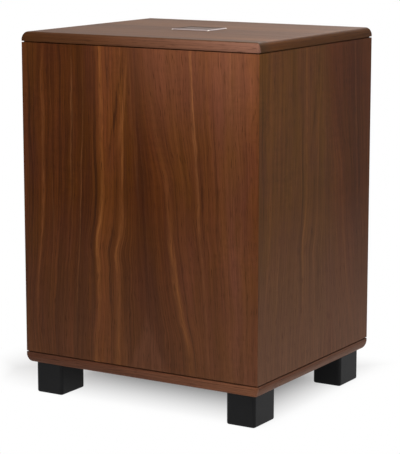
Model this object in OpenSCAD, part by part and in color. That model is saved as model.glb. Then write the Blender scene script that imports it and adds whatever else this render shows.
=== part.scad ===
// Down-firing powered subwoofer: a closed walnut box on four block feet, with its driver in the
// bottom panel and a plate amplifier in the back panel.
// Millimetres. +Z is up, the front faces -Y and the floor is Z = 0. The origin is the middle of the
// overall footprint, with the rear controls counted in.

/* [Cabinet] */
// Width of the cabinet, side to side
cabinet_w = 350; // [330:1:420]
// Depth of the cabinet, front to back
cabinet_d = 300; // [290:1:380]
// Height of the cabinet without its feet
cabinet_h = 434.5; // [420:0.5:520]
// Thickness of the four walls
wall_t = 15; // [12:0.5:20]
// Thickness of the top panel
top_t = 12; // [9:0.5:18]
// Thickness of the bottom panel
bottom_t = 14; // [11:0.5:20]
// How far the top and bottom edges curve in
edge_inset = 6.5; // [3:0.5:10]
// Height of the shadow gap between the walls and the end panels
gap_h = 1.5; // [1:0.1:3]
// Depth of the shadow gap
gap_depth = 2.5; // [1:0.1:5]
// Radius of the upright corners
corner_r = 1; // [0.5:0.1:2]
// Thickness of the board that doubles the bottom panel round the driver
baffle_t = 12; // [9:0.5:20]
// Thickness of the inner brace
brace_t = 12; // [9:0.5:18]
// Height of the brace above the foot of the walls
brace_rise = 250; // [200:1:290]
// Width of the brace's rails
brace_rail = 34; // [25:1:50]
// Thickness of the damping wadding
wadding_t = 70; // [30:1:75]

/* [Feet] */
// Width of a foot
foot_w = 41; // [34:0.5:60]
// Depth of a foot
foot_d = 52; // [34:0.5:60]
// Height of a foot
foot_h = 41.5; // [32:0.5:70]
// Distance from the cabinet's faces to a foot
foot_inset = 9; // [6.5:0.5:20]
// Radius of a foot's upright edges
foot_corner_r = 4; // [3:0.1:8]
// Radius of a foot's lower edges
foot_edge_r = 2.5; // [0.5:0.1:2.9]
// Radius of the recess for the foot screw's head
foot_bore_r = 6.5; // [6:0.1:9]
// Depth of that recess
foot_bore_h = 20; // [10:0.5:28]
// Shank radius of the foot screws
foot_screw_r = 2.5; // [2:0.1:3]
// How far a foot screw goes into the bottom panel
foot_screw_bite = 10; // [6:0.5:10.5]

/* [Badge plate] */
// Width of the plate on the top panel
badge_w = 56; // [30:1:90]
// Depth of the plate
badge_d = 46; // [30:1:80]
// Thickness of the plate
badge_t = 2.6; // [2:0.1:4]
// How deep the plate is let into the wood
badge_sink = 1; // [0.5:0.1:1.5]
// Width of the plate's bevelled edge
badge_bevel = 1.2; // [0.5:0.1:1.4]
// Width of the plate's raised rim
badge_rim = 3.2; // [2:0.1:6]
// Depth of the plate's middle field below the rim
badge_field = 0.5; // [0.2:0.1:0.8]

/* [Driver] */
// Outer radius of the cone
cone_r = 90; // [84:0.5:92]
// Depth of the cone
cone_depth = 36; // [28:0.5:42]
// Thickness of the cone
cone_t = 1.2; // [0.8:0.1:2]
// Radius of the dust cap
cap_r = 36; // [30:0.5:45]
// Height of the dust cap's dome
cap_h = 12; // [6:0.5:16]
// Radius of the surround's half roll
roll_r = 9; // [7:0.1:10]
// Thickness of the surround
surround_t = 1.2; // [0.8:0.1:1.6]
// Width of the surround's glued lips
lip_w = 7; // [5:0.1:9]
// Width of the flange that takes the screws
flange_w = 11.5; // [10:0.5:14]
// Thickness of the frame's flange
flange_t = 4; // [3.5:0.1:6]
// Wall thickness of the basket
basket_t = 4; // [3:0.1:5]
// Number of basket spokes
spoke_count = 8; // [6:1:10]
// Width of a basket spoke
spoke_w = 16; // [10:0.5:20]
// Thickness of the gasket under the flange
driver_gasket_t = 1; // [0.5:0.1:2]
// Number of driver screws
driver_screw_count = 8; // [6:1:12]
// Shank radius of the driver screws
driver_screw_r = 2.5; // [2:0.1:3]
// Inner radius of the voice coil former
coil_r = 25; // [20:0.5:28]
// Length of the voice coil
coil_len = 24; // [18:0.5:26]
// Radial gap on each side of the voice coil
coil_gap = 0.8; // [0.5:0.1:1.2]
// Most the cone moves each way
cone_travel = 10; // [6:0.5:12]
// Thickness of the motor's top plate
motor_plate_t = 8; // [6:0.5:12]
// Radius of the magnet
magnet_r = 70; // [60:0.5:80]
// Thickness of the magnet
magnet_t = 24; // [22:0.5:30]
// Thickness of the motor's back plate
yoke_t = 8; // [6:0.5:12]
// Radius of the vent through the pole
vent_r = 9; // [5:0.5:14]

/* [Amplifier] */
// How far the amplifier's plate reaches past its housing on every side
amp_flange = 17; // [13:0.5:24]
// Thickness of the plate
amp_t = 3; // [2:0.1:4]
// Corner radius of the plate
amp_corner_r = 8; // [4:0.5:14]
// Thickness of the gasket behind the plate
amp_gasket_t = 1; // [0.5:0.1:2]
// Width of the housing behind the plate
housing_w = 176; // [158:1:200]
// Height of the housing
housing_h = 236; // [212:1:266]
// Depth of the housing
housing_d = 72; // [68:1:90]
// Wall thickness of the housing
housing_t = 1.5; // [1:0.1:2.5]
// Distance from the plate to the input board
input_board_gap = 12; // [11:0.5:15]
// Thickness of the circuit boards
board_t = 1.6; // [1:0.1:2.4]
// Height of the posts under the main board
post_h = 8; // [5:0.5:12]
// Radius of the filter capacitors
capacitor_r = 11; // [8:0.5:14]
// Length of the filter capacitors
capacitor_h = 28; // [20:0.5:32]
// Radius of the transformer
transformer_r = 36; // [28:0.5:37]
// Thickness of the transformer
transformer_t = 34; // [24:0.5:38]
// Width of the heat sink
sink_w = 74; // [60:1:78]
// Height of the heat sink
sink_h = 136; // [100:1:140]
// Thickness of the heat sink's base
sink_base_t = 3; // [2:0.1:5]
// Height of the heat sink's fins above its base
fin_h = 9; // [5:0.5:10]
// Thickness of a fin
fin_t = 1.8; // [1:0.1:3]
// Number of fins
fin_count = 10; // [6:1:12]

/* [Controls] */
// Radius of a knob
knob_r = 11; // [8:0.5:14]
// How far a knob stands out from the plate
knob_h = 16; // [14:0.5:22]
// Number of flutes round a knob
flute_count = 18; // [12:1:24]
// Distance between the knobs
knob_pitch = 62; // [40:1:66]
// Radius of a control shaft
shaft_r = 3; // [2:0.1:3]
// Length of a toggle lever from its pivot
toggle_len = 13; // [10:0.5:14]
// Swing of a toggle lever from one end to the other, in degrees
toggle_swing = 25; // [16:1:28]
// Width of the power rocker
rocker_w = 15; // [10:0.5:18]
// Radius of the power rocker about its pivot
rocker_r = 10.3; // [8:0.1:12]
// Swing of the power rocker, in degrees
rocker_swing = 20; // [12:1:24]

/* [Sockets] */
// Outer radius of a phono socket's shell
jack_r = 4.15; // [3.9:0.01:4.3]
// Length of the shell that a plug grips
jack_len = 9.4; // [8:0.1:10]
// Width of the mains inlet's well
inlet_well_w = 24.2; // [23:0.1:25]
// Height of the mains inlet's well
inlet_well_h = 16.4; // [15.5:0.1:17]
// Depth of the mains inlet's well
inlet_well_d = 16; // [14:0.5:18]
// Length of the fuse
fuse_len = 20; // [18:0.5:20]
// Radius of the fuse
fuse_r = 2.5; // [2:0.1:2.6]
// How far the fuse drawer pulls out
drawer_travel = 18; // [10:1:18]

/* [Hidden] */
$fn = 64;

// Clearances: loose parts, screws in their holes, glued tubes, turning shafts, and cutter overrun
seat_clear = 0.3;
screw_clear = 0.1;
glue_clear = 0.05;
turn_clear = 0.05;
cut = 1;

// Heights of the cabinet, from the floor up
bottom_z1 = foot_h + bottom_t;
wall_h = cabinet_h - bottom_t - top_t;
wall_z1 = bottom_z1 + wall_h;
inner_w = cabinet_w - 2 * wall_t;
inner_d = cabinet_d - 2 * wall_t;

// Depths: the knobs are what reaches furthest behind the back panel
overall_d = cabinet_d + knob_h;
front_y = -overall_d / 2;
back_y = front_y + cabinet_d;
mid_y = (front_y + back_y) / 2;

// Curved edges of the end panels, and the wadding's corners
edge_steps = 12;
wadding_corner_r = 20;

// Feet
foot_x = cabinet_w / 2 - foot_inset - foot_w / 2;
foot_y = cabinet_d / 2 - foot_inset - foot_d / 2;
foot_head_r = foot_bore_r - 1.5;
foot_head_h = 3.5;

// Driver radii, from the cone outwards and then from the coil outwards
roll_lead = 1;
lip_reach = 3;
landing_clear = 0.5;
cutout_clear = 2.5;
head_edge = 1;
roll_start_r = cone_r + roll_lead;
roll_mid_r = roll_start_r + roll_r;
roll_end_r = roll_mid_r + roll_r;
outer_lip_r = roll_end_r + lip_w + lip_reach;
landing_r = outer_lip_r + landing_clear;
frame_r = landing_r + flange_w;
basket_r = roll_end_r + landing_clear;
cutout_r = basket_r + basket_t + cutout_clear;
driver_screw_circle_r = landing_r + flange_w / 2;
driver_head_r = flange_w / 2 - head_edge;
driver_head_h = 3;
former_t = 0.5;
former_r = coil_r + former_t;
winding_t = 1.3;
winding_r = former_r + winding_t;
pole_r = coil_r - coil_gap;
motor_hole_r = winding_r + coil_gap;
motor_plate_setback = 10;
motor_plate_r = magnet_r - motor_plate_setback;
spider_w = 33;
spider_rim_w = 7;
spider_in_r = former_r + glue_clear;
spider_out_r = coil_r + spider_w;
spider_rim_r = spider_out_r + spider_rim_w;
rear_w = 5;
rear_r = spider_rim_r + rear_w;
rear_wall_t = basket_t;
ledge_step = 1;
ledge_in_r = spider_out_r + ledge_step;
seat_w = 10;
seat_in_r = motor_hole_r + seat_w;
magnet_setback = 5;

// Driver heights, measured up from the front of its flange
landing_z = 2;
lip_z = landing_z - surround_t;
roll_z = landing_z - surround_t / 2;
trim_t = 2.2;
cone_rim_r = cone_r - lip_w;
neck_r = former_r + glue_clear;
neck_z = landing_z + cone_depth;
cone_slope = cone_depth / (cone_rim_r - neck_r);
cone_rise = cone_t / cos(atan(cone_slope));
spider_amp = 2.4;
spider_t = 0.8;
spider_waves = 5;
spider_rise = 8;
spider_z = neck_z + cone_rise + spider_rise;
ledge_z = spider_z + spider_t / 2;
ledge_t = 3;
pan_t = 4;
motor_z = spider_z + cone_travel + spider_amp + pan_t;
magnet_z = motor_z + motor_plate_t;
yoke_z = magnet_z + magnet_t;
coil_mid_z = motor_z + motor_plate_t / 2;
former_head = 1;
former_tail = 2;
former_top_z = coil_mid_z + coil_len / 2 + former_head;
former_low_z = neck_z - former_tail;
basket_rim_h = 12;
ring_z = flange_t + basket_rim_h;
cone_wall_z = ledge_z + basket_t;
cap_seat = 0.1;
cap_z = landing_z + (cone_rim_r - cap_r) * cone_slope - cap_seat;
cap_t = 1;
cap_ball_r = (cap_r * cap_r + cap_h * cap_h) / (2 * cap_h);
window_hub = 3;
window_rim = 11;
window_in_r = rear_r + window_hub;
window_out_r = basket_r - window_rim;
driver_screw_bite = 19;
driver_screw_len = flange_t + driver_gasket_t + driver_screw_bite;

// Terminal block on the basket, between two spokes, and the leads to the cone
terminal_angle = 90 + 180 / spoke_count;
terminal_w = 18;
terminal_t = 8;
terminal_h = 12;
terminal_seat = 0.2;
terminal_r = rear_r + terminal_seat;
terminal_z = motor_z - terminal_h;
tinsel_r = 0.8;
tinsel_spread = 4.5;
tinsel_bow = 4;
tinsel_stand = 1;
tinsel_reach = 14;
tinsel_end_r = cap_r + tinsel_reach;
tinsel_start_r = terminal_r + terminal_t / 2;

// Amplifier: heights are measured from the middle of its plate
amp_lift = 2;
amp_z = bottom_z1 + wall_h / 2 + amp_lift;
amp_w = housing_w + 2 * amp_flange;
amp_h = housing_h + 2 * amp_flange;
plate_in_y = back_y - amp_t;
housing_gap = 3;
amp_hole_w = housing_w + 2 * housing_gap;
amp_hole_h = housing_h + 2 * housing_gap;
amp_screw_r = 2;
amp_head_r = 3.8;
amp_head_h = 2.4;
amp_screw_len = 13;
amp_screw_x = (amp_w + amp_hole_w) / 4;
amp_screw_z = (amp_h + amp_hole_h) / 4;
housing_in_y = plate_in_y - housing_d;
housing_floor_z = amp_z - housing_h / 2;
main_board_w = 140;
main_board_h = 180;
main_board_y = housing_in_y + housing_t + post_h;
post_r = 4;
capacitor_x = [-48, -16, 16, 48];
capacitor_z = 40;
input_board_edge = 6;
input_board_drop = 5;
input_board_w = housing_w - 2 * input_board_edge;
input_board_h = 122;
input_board_z = housing_h / 2 - input_board_drop - input_board_h / 2;
transformer_gap = 4.5;
transformer_x = transformer_r + transformer_gap + housing_t - housing_w / 2;
transformer_z = -66;
transformer_hole_r = 9;
transformer_round = 8;
sink_gap = 1.2;
sink_floor = 25;
sink_edge = (amp_flange - housing_gap) / 2 + amp_head_r + sink_gap;
sink_x = sink_edge + sink_w / 2 - amp_w / 2;
sink_z = sink_floor + sink_h / 2 - amp_h / 2;

// Rows of controls and sockets on the plate, from the housing's top down and its right edge in
knob_drop = 23;
switch_drop = 47;
jack_drop = 43;
jack_edge = 8;
jack_pitch = 30;
jack_pair_gap = 6;
switch_pitch = 40;
led_rise = 22;
knob_z = housing_h / 2 - knob_drop;
switch_z = knob_z - switch_drop;
jack_z = switch_z - jack_drop;
jack_right_x = housing_w / 2 - jack_edge;
jack_x = [jack_right_x, jack_right_x - jack_pitch, jack_right_x - 2 * jack_pitch - jack_pair_gap];
phase_x = knob_pitch;
mode_x = phase_x - switch_pitch;
led_x = sink_x;
led_z = sink_z + sink_h / 2 + led_rise;
rocker_x = 58;
rocker_z = -42;
inlet_x = 52;

// Controls: depths are measured outwards from the plate's face
pot_r = 8.5;
bush_r = 4.5;
bush_out = 5;
pot_floor = 2;
nut_t = 2;
nut_r = 6.4;
knob_skirt_t = 2;
knob_lift = 1;
knob_hollow_h = bush_out + 1;
knob_roof = 2;
knob_edge = 1;
pointer_w = 1.4;
pointer_d = 0.6;
flute_r = 0.8;
flute_set = 0.3;
toggle_bush_r = 3.4;
toggle_bore_r = 2.7;
toggle_bush_out = 6;
toggle_pivot_y = 2;
toggle_ball_r = toggle_bore_r - seat_clear;
toggle_pin_r = 0.8;
toggle_pin_reach = toggle_bush_r - seat_clear;
toggle_neck_r = 1;
toggle_tip_r = 1.7;
toggle_body_w = 9;
toggle_body_h = 14;
rocker_pin_r = 1.5;
rocker_pin_reach = 1.6;
rocker_pivot_y = -2;
rocker_face_y = 6.2;
rocker_dip = 1.4;
rocker_sole = 3.4;
rocker_wall = 2.2;
rocker_bezel = 2;
rocker_bezel_t = 2;
switch_body_w = rocker_w + 2 * (seat_clear + rocker_wall);
switch_body_h = 2 * (rocker_r + seat_clear + rocker_wall);
switch_body_d = rocker_r - rocker_pivot_y + 4;
led_r = 1.5;
led_collar_r = 2.4;
led_leg_r = 0.3;
led_depth = 4;
led_stand = 0.5;
led_leg_bite = 1;

// Sockets: a phono shell is slimmer where it passes through its washer
jack_wall = 0.75;
jack_step = 0.25;
jack_tail_r = jack_r - jack_step;
washer_r = 6.4;
washer_t = 2;
boss_r = jack_tail_r + 1;
core_hole_r = 1.6;
core_len = amp_t + input_board_gap + washer_t + jack_len - 1;
inlet_flange_t = 2.5;
inlet_wall = 2;
inlet_rib = 2.2;
drawer_w = fuse_len + 2;
drawer_h = 2 * fuse_r + 3;
drawer_d = inlet_well_d + 2;
inlet_body_w = inlet_well_w + 2 * inlet_wall;
inlet_body_h = inlet_well_h + drawer_h + 2 * seat_clear + inlet_rib + 2 * inlet_wall;
inlet_rear = 2;
inlet_body_d = drawer_d + inlet_wall + inlet_rear;
inlet_lip = 4;
inlet_floor = 7.4;
inlet_z = inlet_floor + inlet_body_h / 2 - housing_h / 2;
well_z = inlet_body_h / 2 - inlet_wall - inlet_well_h / 2;
drawer_z = -inlet_body_h / 2 + inlet_wall + seat_clear + drawer_h / 2;
well_floor_y = inlet_flange_t - inlet_well_d;
well_corner = 4.5;
pin_w = 2;
pin_h = 4;
pin_len = inlet_well_d - 4;
pin_tail = 6;
pin_pitch = 7;
earth_rise = 4;
drawer_face_t = 2.2;
drawer_face_lip = 1;
drawer_grip = 1.6;
fuse_seat = 0.2;
fuse_y = inlet_flange_t - drawer_d / 2;

// Driver lead: from the main board, down through the housing's floor to the terminal block
lead_r = 2.4;
lead_x = (terminal_r + terminal_t / 2) * cos(terminal_angle);
lead_end_y = mid_y + (terminal_r + terminal_t / 2) * sin(terminal_angle);
lead_end_z = foot_h + terminal_z + terminal_h;
lead_bend = 14;
lead_stub = 5.6;
lead_rise = 40;
lead_drop = 6;
lead_lift = 12;
lead_hole_y = main_board_y + board_t + lead_bend;
lead_start_z = housing_floor_z + housing_t + lead_rise;
lead_route = [
    [lead_x, main_board_y + board_t + glue_clear, lead_start_z],
    [lead_x, main_board_y + board_t + lead_stub, lead_start_z],
    [lead_x, lead_hole_y, lead_start_z - lead_bend],
    [lead_x, lead_hole_y, housing_floor_z + housing_t],
    [lead_x, lead_hole_y, housing_floor_z - lead_drop],
    [lead_x, lead_end_y, lead_end_z + lead_lift],
    [lead_x, lead_end_y, lead_end_z + glue_clear],
];

wood = [0.36, 0.21, 0.12];
board = [0.62, 0.48, 0.33];
black = [0.11, 0.11, 0.12];
steel = [0.7, 0.7, 0.72];
rubber = [0.07, 0.07, 0.07];

// Shared shapes

module rounded_rect(w, h, r) {
    square([w - 2 * r, h], center = true);
    square([w, h - 2 * r], center = true);
    for (x = [-1, 1], y = [-1, 1])
        translate([x * (w / 2 - r), y * (h / 2 - r)]) circle(r);
}

module ring(r_out, r_in, h) {
    difference() {
        cylinder(h = h, r = r_out);
        translate([0, 0, -cut]) cylinder(h = h + 2 * cut, r = r_in);
    }
}

// Places what is drawn round the driver's axis, with Z = 0 on the front of its flange
module at_driver() {
    translate([0, mid_y, foot_h]) children();
}

// Places what is drawn at (x, z) on the amplifier's plate, with Y = 0 on the plate's face
module at_plate(x, z) {
    translate([x, back_y, amp_z + z]) children();
}

// Turns a shape drawn along +Z to point out of the back panel
module outwards() {
    rotate([-90, 0, 0]) children();
}

// Extrudes an outline drawn in the plate's X and Z from depth y0 to depth y1
module slab(y0, y1) {
    translate([0, y1, 0]) rotate([90, 0, 0]) linear_extrude(y1 - y0) children();
}

// Repeats children round Z at the driver screws
module at_driver_screws() {
    for (i = [0 : driver_screw_count - 1])
        rotate([0, 0, (i + 0.5) * 360 / driver_screw_count])
            translate([driver_screw_circle_r, 0, 0]) children();
}

// Repeats children at the amplifier plate's screws, in the plate's X and Z
module at_amp_screws() {
    for (x = [-1, 1], z = [-1, -1 / 3, 1 / 3, 1])
        at_plate(x * amp_screw_x, z * amp_screw_z) children();
    for (z = [-1, 1]) at_plate(0, z * amp_screw_z) children();
}

// Points on a smooth curve through a route
function curve_point(p, i, t) =
    let (a = p[max(i - 1, 0)], b = p[i], c = p[i + 1], d = p[min(i + 2, len(p) - 1)])
    b + 0.5 * t * (c - a + t * (2 * a - 5 * b + 4 * c - d + t * (3 * b - 3 * c + d - a)));
function curve(p, steps) = concat(
    [for (i = [0 : len(p) - 2], k = [0 : steps - 1]) curve_point(p, i, k / steps)], [p[len(p) - 1]]);
function unit(v) = v / norm(v);

// A round wire along a route that lies in a plane square to side, with its ends cut square
module wire(route, r, side, sides = 8, steps = 4) {
    path = curve(route, steps);
    last = len(path) - 1;
    first_way = unit(route[1] - route[0]);
    last_way = unit(route[len(route) - 1] - route[len(route) - 2]);
    middle = [for (i = [1 : last - 1]) unit(path[i + 1] - path[i - 1])];
    ways = concat([first_way], middle, [last_way]);
    points = [for (i = [0 : last], k = [0 : sides - 1]) let (a = 360 * k / sides)
        path[i] + r * (cos(a) * side + sin(a) * cross(ways[i], side))];
    walls = [for (i = [0 : last - 1], k = [0 : sides - 1]) let (n = (k + 1) % sides)
        each [[i * sides + k, (i + 1) * sides + k, i * sides + n],
              [i * sides + n, (i + 1) * sides + k, (i + 1) * sides + n]]];
    first_cap = [for (k = [0 : sides - 1]) k];
    last_cap = [for (k = [sides - 1 : -1 : 0]) last * sides + k];
    polyhedron(points, concat(walls, [first_cap, last_cap]));
}

// Cabinet

// Section of an end panel whose edges curve in over its whole thickness
module curved_section(length, thickness) {
    side = [for (i = [0 : edge_steps]) let (a = 90 * i / edge_steps)
        [length / 2 - edge_inset * (1 - cos(a)), thickness * sin(a)]];
    polygon(concat(side, [for (i = [edge_steps : -1 : 0]) [-side[i][0], side[i][1]]]));
}

module curved_panel(thickness) {
    intersection() {
        rotate([90, 0, 0])
            linear_extrude(cabinet_d + cut, center = true) curved_section(cabinet_w, thickness);
        rotate([90, 0, 90])
            linear_extrude(cabinet_w + cut, center = true) curved_section(cabinet_d, thickness);
        linear_extrude(thickness) rounded_rect(cabinet_w, cabinet_d, corner_r);
    }
}

module gap_frame() {
    difference() {
        square([cabinet_w + 2 * cut, cabinet_d + 2 * cut], center = true);
        square([cabinet_w - 2 * gap_depth, cabinet_d - 2 * gap_depth], center = true);
    }
}

// A wall from its mitred plan, rebated at top and bottom for the shadow gaps
module wall(plan) {
    translate([0, mid_y, bottom_z1])
        difference() {
            linear_extrude(wall_h)
                intersection() {
                    polygon(plan);
                    rounded_rect(cabinet_w, cabinet_d, corner_r);
                }
            translate([0, 0, -cut]) linear_extrude(gap_h + cut) gap_frame();
            translate([0, 0, wall_h - gap_h]) linear_extrude(gap_h + cut) gap_frame();
        }
}

// Plan of a wall on the -Y or +Y side, and on the -X or +X side
function cross_wall(s) = [
    [-cabinet_w / 2, s * cabinet_d / 2], [cabinet_w / 2, s * cabinet_d / 2],
    [inner_w / 2, s * inner_d / 2], [-inner_w / 2, s * inner_d / 2]];
function side_wall(s) = [
    [s * cabinet_w / 2, -cabinet_d / 2], [s * cabinet_w / 2, cabinet_d / 2],
    [s * inner_w / 2, inner_d / 2], [s * inner_w / 2, -inner_d / 2]];

module front_panel() {
    color(wood) wall(cross_wall(-1));
}

module left_side_panel() {
    color(wood) wall(side_wall(-1));
}

module right_side_panel() {
    color(wood) wall(side_wall(1));
}

module back_panel() {
    color(wood) difference() {
        wall(cross_wall(1));
        at_plate(0, 0) slab(-amp_t - amp_gasket_t, cut)
            rounded_rect(amp_w + 2 * seat_clear, amp_h + 2 * seat_clear, amp_corner_r + seat_clear);
        at_plate(0, 0) slab(-wall_t - cut, cut) rounded_rect(amp_hole_w, amp_hole_h, amp_corner_r);
        at_amp_screws()
            translate([0, -amp_screw_len - cut, 0])
                outwards() cylinder(h = amp_screw_len + cut, r = amp_screw_r + screw_clear);
    }
}

module top_panel() {
    color(wood) translate([0, mid_y, wall_z1]) difference() {
        curved_panel(top_t);
        translate([0, 0, top_t - badge_sink])
            linear_extrude(badge_sink + cut)
                square([badge_w + 2 * glue_clear, badge_d + 2 * glue_clear], center = true);
    }
}

module bottom_panel() {
    color(wood) difference() {
        translate([0, mid_y, bottom_z1]) mirror([0, 0, 1]) curved_panel(bottom_t);
        at_driver() {
            translate([0, 0, -cut]) cylinder(h = bottom_t + 2 * cut, r = cutout_r);
            translate([0, 0, -cut])
                cylinder(h = flange_t + driver_gasket_t + cut, r = frame_r + 2 * seat_clear);
            at_driver_screws() cylinder(h = bottom_t + cut, r = driver_screw_r + screw_clear);
        }
        at_feet() cylinder(h = foot_h + foot_screw_bite + cut, r = foot_screw_r + screw_clear);
    }
}

module sub_baffle() {
    color(board) translate([0, mid_y, bottom_z1]) difference() {
        linear_extrude(baffle_t)
            square([inner_w - 2 * seat_clear, inner_d - 2 * seat_clear], center = true);
        translate([0, 0, -cut]) cylinder(h = baffle_t + 2 * cut, r = cutout_r);
        at_driver_screws()
            translate([0, 0, -cut]) cylinder(h = baffle_t + 2 * cut, r = driver_screw_r + screw_clear);
    }
}

// A frame across the inside of the box, open at the back for the amplifier's housing
module window_brace() {
    notch_y = housing_in_y - housing_gap - mid_y;
    window_w = (inner_w - 3 * brace_rail) / 2;
    window_d = notch_y + inner_d / 2 - 2 * brace_rail;
    color(board) translate([0, mid_y, bottom_z1 + brace_rise]) linear_extrude(brace_t) difference() {
        square([inner_w - 2 * glue_clear, inner_d - 2 * glue_clear], center = true);
        translate([-amp_hole_w / 2, notch_y]) square([amp_hole_w, inner_d]);
        for (s = [-1, 1])
            translate([s * (window_w + brace_rail) / 2, -inner_d / 2 + brace_rail + window_d / 2])
                square([window_w, window_d], center = true);
    }
}

// A pad of fibre that lies on the brace in front of the amplifier
module wadding() {
    pad_clear = 4;
    pad_d = housing_in_y - housing_gap - front_y - wall_t - 2 * pad_clear;
    pad_y = front_y + wall_t + pad_clear + pad_d / 2;
    color("whitesmoke") translate([0, pad_y, bottom_z1 + brace_rise + brace_t + seat_clear])
        linear_extrude(wadding_t) rounded_rect(inner_w - 2 * pad_clear, pad_d, wadding_corner_r);
}

// Feet

// Repeats children at the four feet, on the floor
module at_feet() {
    for (x = [-1, 1], y = [-1, 1]) translate([x * foot_x, mid_y + y * foot_y, 0]) children();
}

// Upright section with its two lower corners rounded
module foot_section(w) {
    translate([-w / 2, foot_edge_r]) square([w, foot_h - foot_edge_r]);
    translate([-w / 2 + foot_edge_r, 0]) square([w - 2 * foot_edge_r, foot_h]);
    for (s = [-1, 1]) translate([s * (w / 2 - foot_edge_r), foot_edge_r]) circle(foot_edge_r);
}

module foot_post() {
    rotate_extrude() intersection() {
        foot_section(2 * foot_corner_r);
        square([foot_corner_r, foot_h]);
    }
}

module foot() {
    straight_w = foot_w - 2 * foot_corner_r;
    straight_d = foot_d - 2 * foot_corner_r;
    color(black) difference() {
        union() {
            rotate([90, 0, 90]) linear_extrude(straight_w, center = true) foot_section(foot_d);
            rotate([90, 0, 0]) linear_extrude(straight_d, center = true) foot_section(foot_w);
            for (x = [-1, 1], y = [-1, 1])
                translate([x * straight_w / 2, y * straight_d / 2, 0]) foot_post();
        }
        translate([0, 0, -cut]) cylinder(h = foot_bore_h + cut, r = foot_bore_r);
        cylinder(h = foot_h + cut, r = foot_screw_r + screw_clear);
    }
}

module foot_at(x, y) {
    translate([x * foot_x, mid_y + y * foot_y, 0]) foot();
}

module foot_front_left() foot_at(-1, -1);
module foot_front_right() foot_at(1, -1);
module foot_back_left() foot_at(-1, 1);
module foot_back_right() foot_at(1, 1);

module foot_screws() {
    color(steel) at_feet() difference() {
        union() {
            translate([0, 0, foot_bore_h - foot_head_h]) cylinder(h = foot_head_h, r = foot_head_r);
            translate([0, 0, foot_bore_h])
                cylinder(h = foot_h + foot_screw_bite - foot_bore_h, r = foot_screw_r);
        }
        translate([0, 0, foot_bore_h - foot_head_h - cut])
            cylinder(h = foot_head_h / 2 + cut, r = foot_head_r / 2, $fn = 6);
    }
}

// Badge plate: bare metal, bevelled, with a raised rim round a sunk field

module badge_section(length) {
    polygon([
        [-length / 2, 0], [length / 2, 0], [length / 2, badge_t - badge_bevel],
        [length / 2 - badge_bevel, badge_t], [-length / 2 + badge_bevel, badge_t],
        [-length / 2, badge_t - badge_bevel]]);
}

module badge_plate() {
    color(steel) translate([0, mid_y, wall_z1 + top_t - badge_sink]) difference() {
        intersection() {
            rotate([90, 0, 0]) linear_extrude(badge_d, center = true) badge_section(badge_w);
            rotate([90, 0, 90]) linear_extrude(badge_w, center = true) badge_section(badge_d);
        }
        translate([0, 0, badge_t - badge_field])
            linear_extrude(badge_field + cut)
                rounded_rect(badge_w - 2 * badge_rim, badge_d - 2 * badge_rim, badge_rim / 2);
    }
}

// Driver, fixed pieces

module frame_section() {
    polygon([
        [basket_r, landing_z], [landing_r, landing_z], [landing_r, 0], [frame_r, 0],
        [frame_r, flange_t], [basket_r + basket_t, flange_t], [basket_r + basket_t, ring_z],
        [rear_r, cone_wall_z], [rear_r, motor_z], [seat_in_r, motor_z], [seat_in_r, motor_z - pan_t],
        [rear_r - rear_wall_t, motor_z - pan_t], [rear_r - rear_wall_t, ledge_z + ledge_t],
        [ledge_in_r, ledge_z + ledge_t], [ledge_in_r, ledge_z], [rear_r - ledge_step, ledge_z],
        [basket_r, ring_z - basket_t / 2]]);
}

// Plan of an opening between two spokes
module basket_window() {
    half = 180 / spoke_count;
    y_in = window_in_r * tan(half) - spoke_w / 2 / cos(half);
    x_out = window_out_r * cos(half);
    y_out = x_out * tan(half) - spoke_w / 2 / cos(half);
    polygon([
        [window_in_r, -y_in], [x_out, -y_out], [window_out_r, 0], [x_out, y_out], [window_in_r, y_in]]);
}

module driver_frame() {
    color("dimgray") at_driver() difference() {
        rotate_extrude() frame_section();
        for (i = [0 : spoke_count - 1])
            rotate([0, 0, terminal_angle + i * 360 / spoke_count])
                translate([0, 0, flange_t + cut]) linear_extrude(motor_z) basket_window();
        at_driver_screws()
            translate([0, 0, -cut]) cylinder(h = flange_t + 2 * cut, r = driver_screw_r + screw_clear);
    }
}

module driver_gasket() {
    color(rubber) at_driver() translate([0, 0, flange_t]) difference() {
        ring(frame_r, cutout_r, driver_gasket_t);
        at_driver_screws() translate([0, 0, -cut])
            cylinder(h = driver_gasket_t + 2 * cut, r = driver_screw_r + screw_clear);
    }
}

// Ring over the surround's outer lip, with a rounded inner edge
module trim_ring() {
    trim_in_r = roll_end_r + surround_t + landing_clear;
    color(rubber) at_driver() rotate_extrude() {
        translate([trim_in_r + trim_t / 2, lip_z - trim_t])
            square([landing_r - seat_clear - trim_in_r - trim_t / 2, trim_t]);
        translate([trim_in_r + trim_t / 2, lip_z - trim_t / 2]) circle(trim_t / 2);
    }
}

module driver_screws() {
    color(black) at_driver() at_driver_screws() difference() {
        union() {
            translate([0, 0, -driver_head_h]) cylinder(h = driver_head_h, r = driver_head_r);
            cylinder(h = driver_screw_len, r = driver_screw_r);
        }
        translate([0, 0, -driver_head_h - cut])
            cylinder(h = driver_head_h / 2 + cut, r = driver_screw_r, $fn = 6);
    }
}

// Rubber half roll between the cone's rim and the frame
module surround() {
    color(rubber) at_driver() rotate_extrude() {
        translate([cone_rim_r, lip_z]) square([roll_start_r - cone_rim_r + surround_t / 2, surround_t]);
        translate([roll_end_r - surround_t / 2, lip_z])
            square([outer_lip_r - roll_end_r + surround_t / 2, surround_t]);
        translate([roll_mid_r, roll_z]) difference() {
            circle(roll_r + surround_t / 2);
            circle(roll_r - surround_t / 2);
            translate([-2 * roll_r, 0]) square([4 * roll_r, 2 * roll_r]);
        }
    }
}

// Corrugated cloth disc that centres the coil
function spider_wave(r) =
    spider_z + spider_amp * sin(360 * spider_waves * (r - spider_in_r) / (spider_out_r - spider_in_r));

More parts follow.
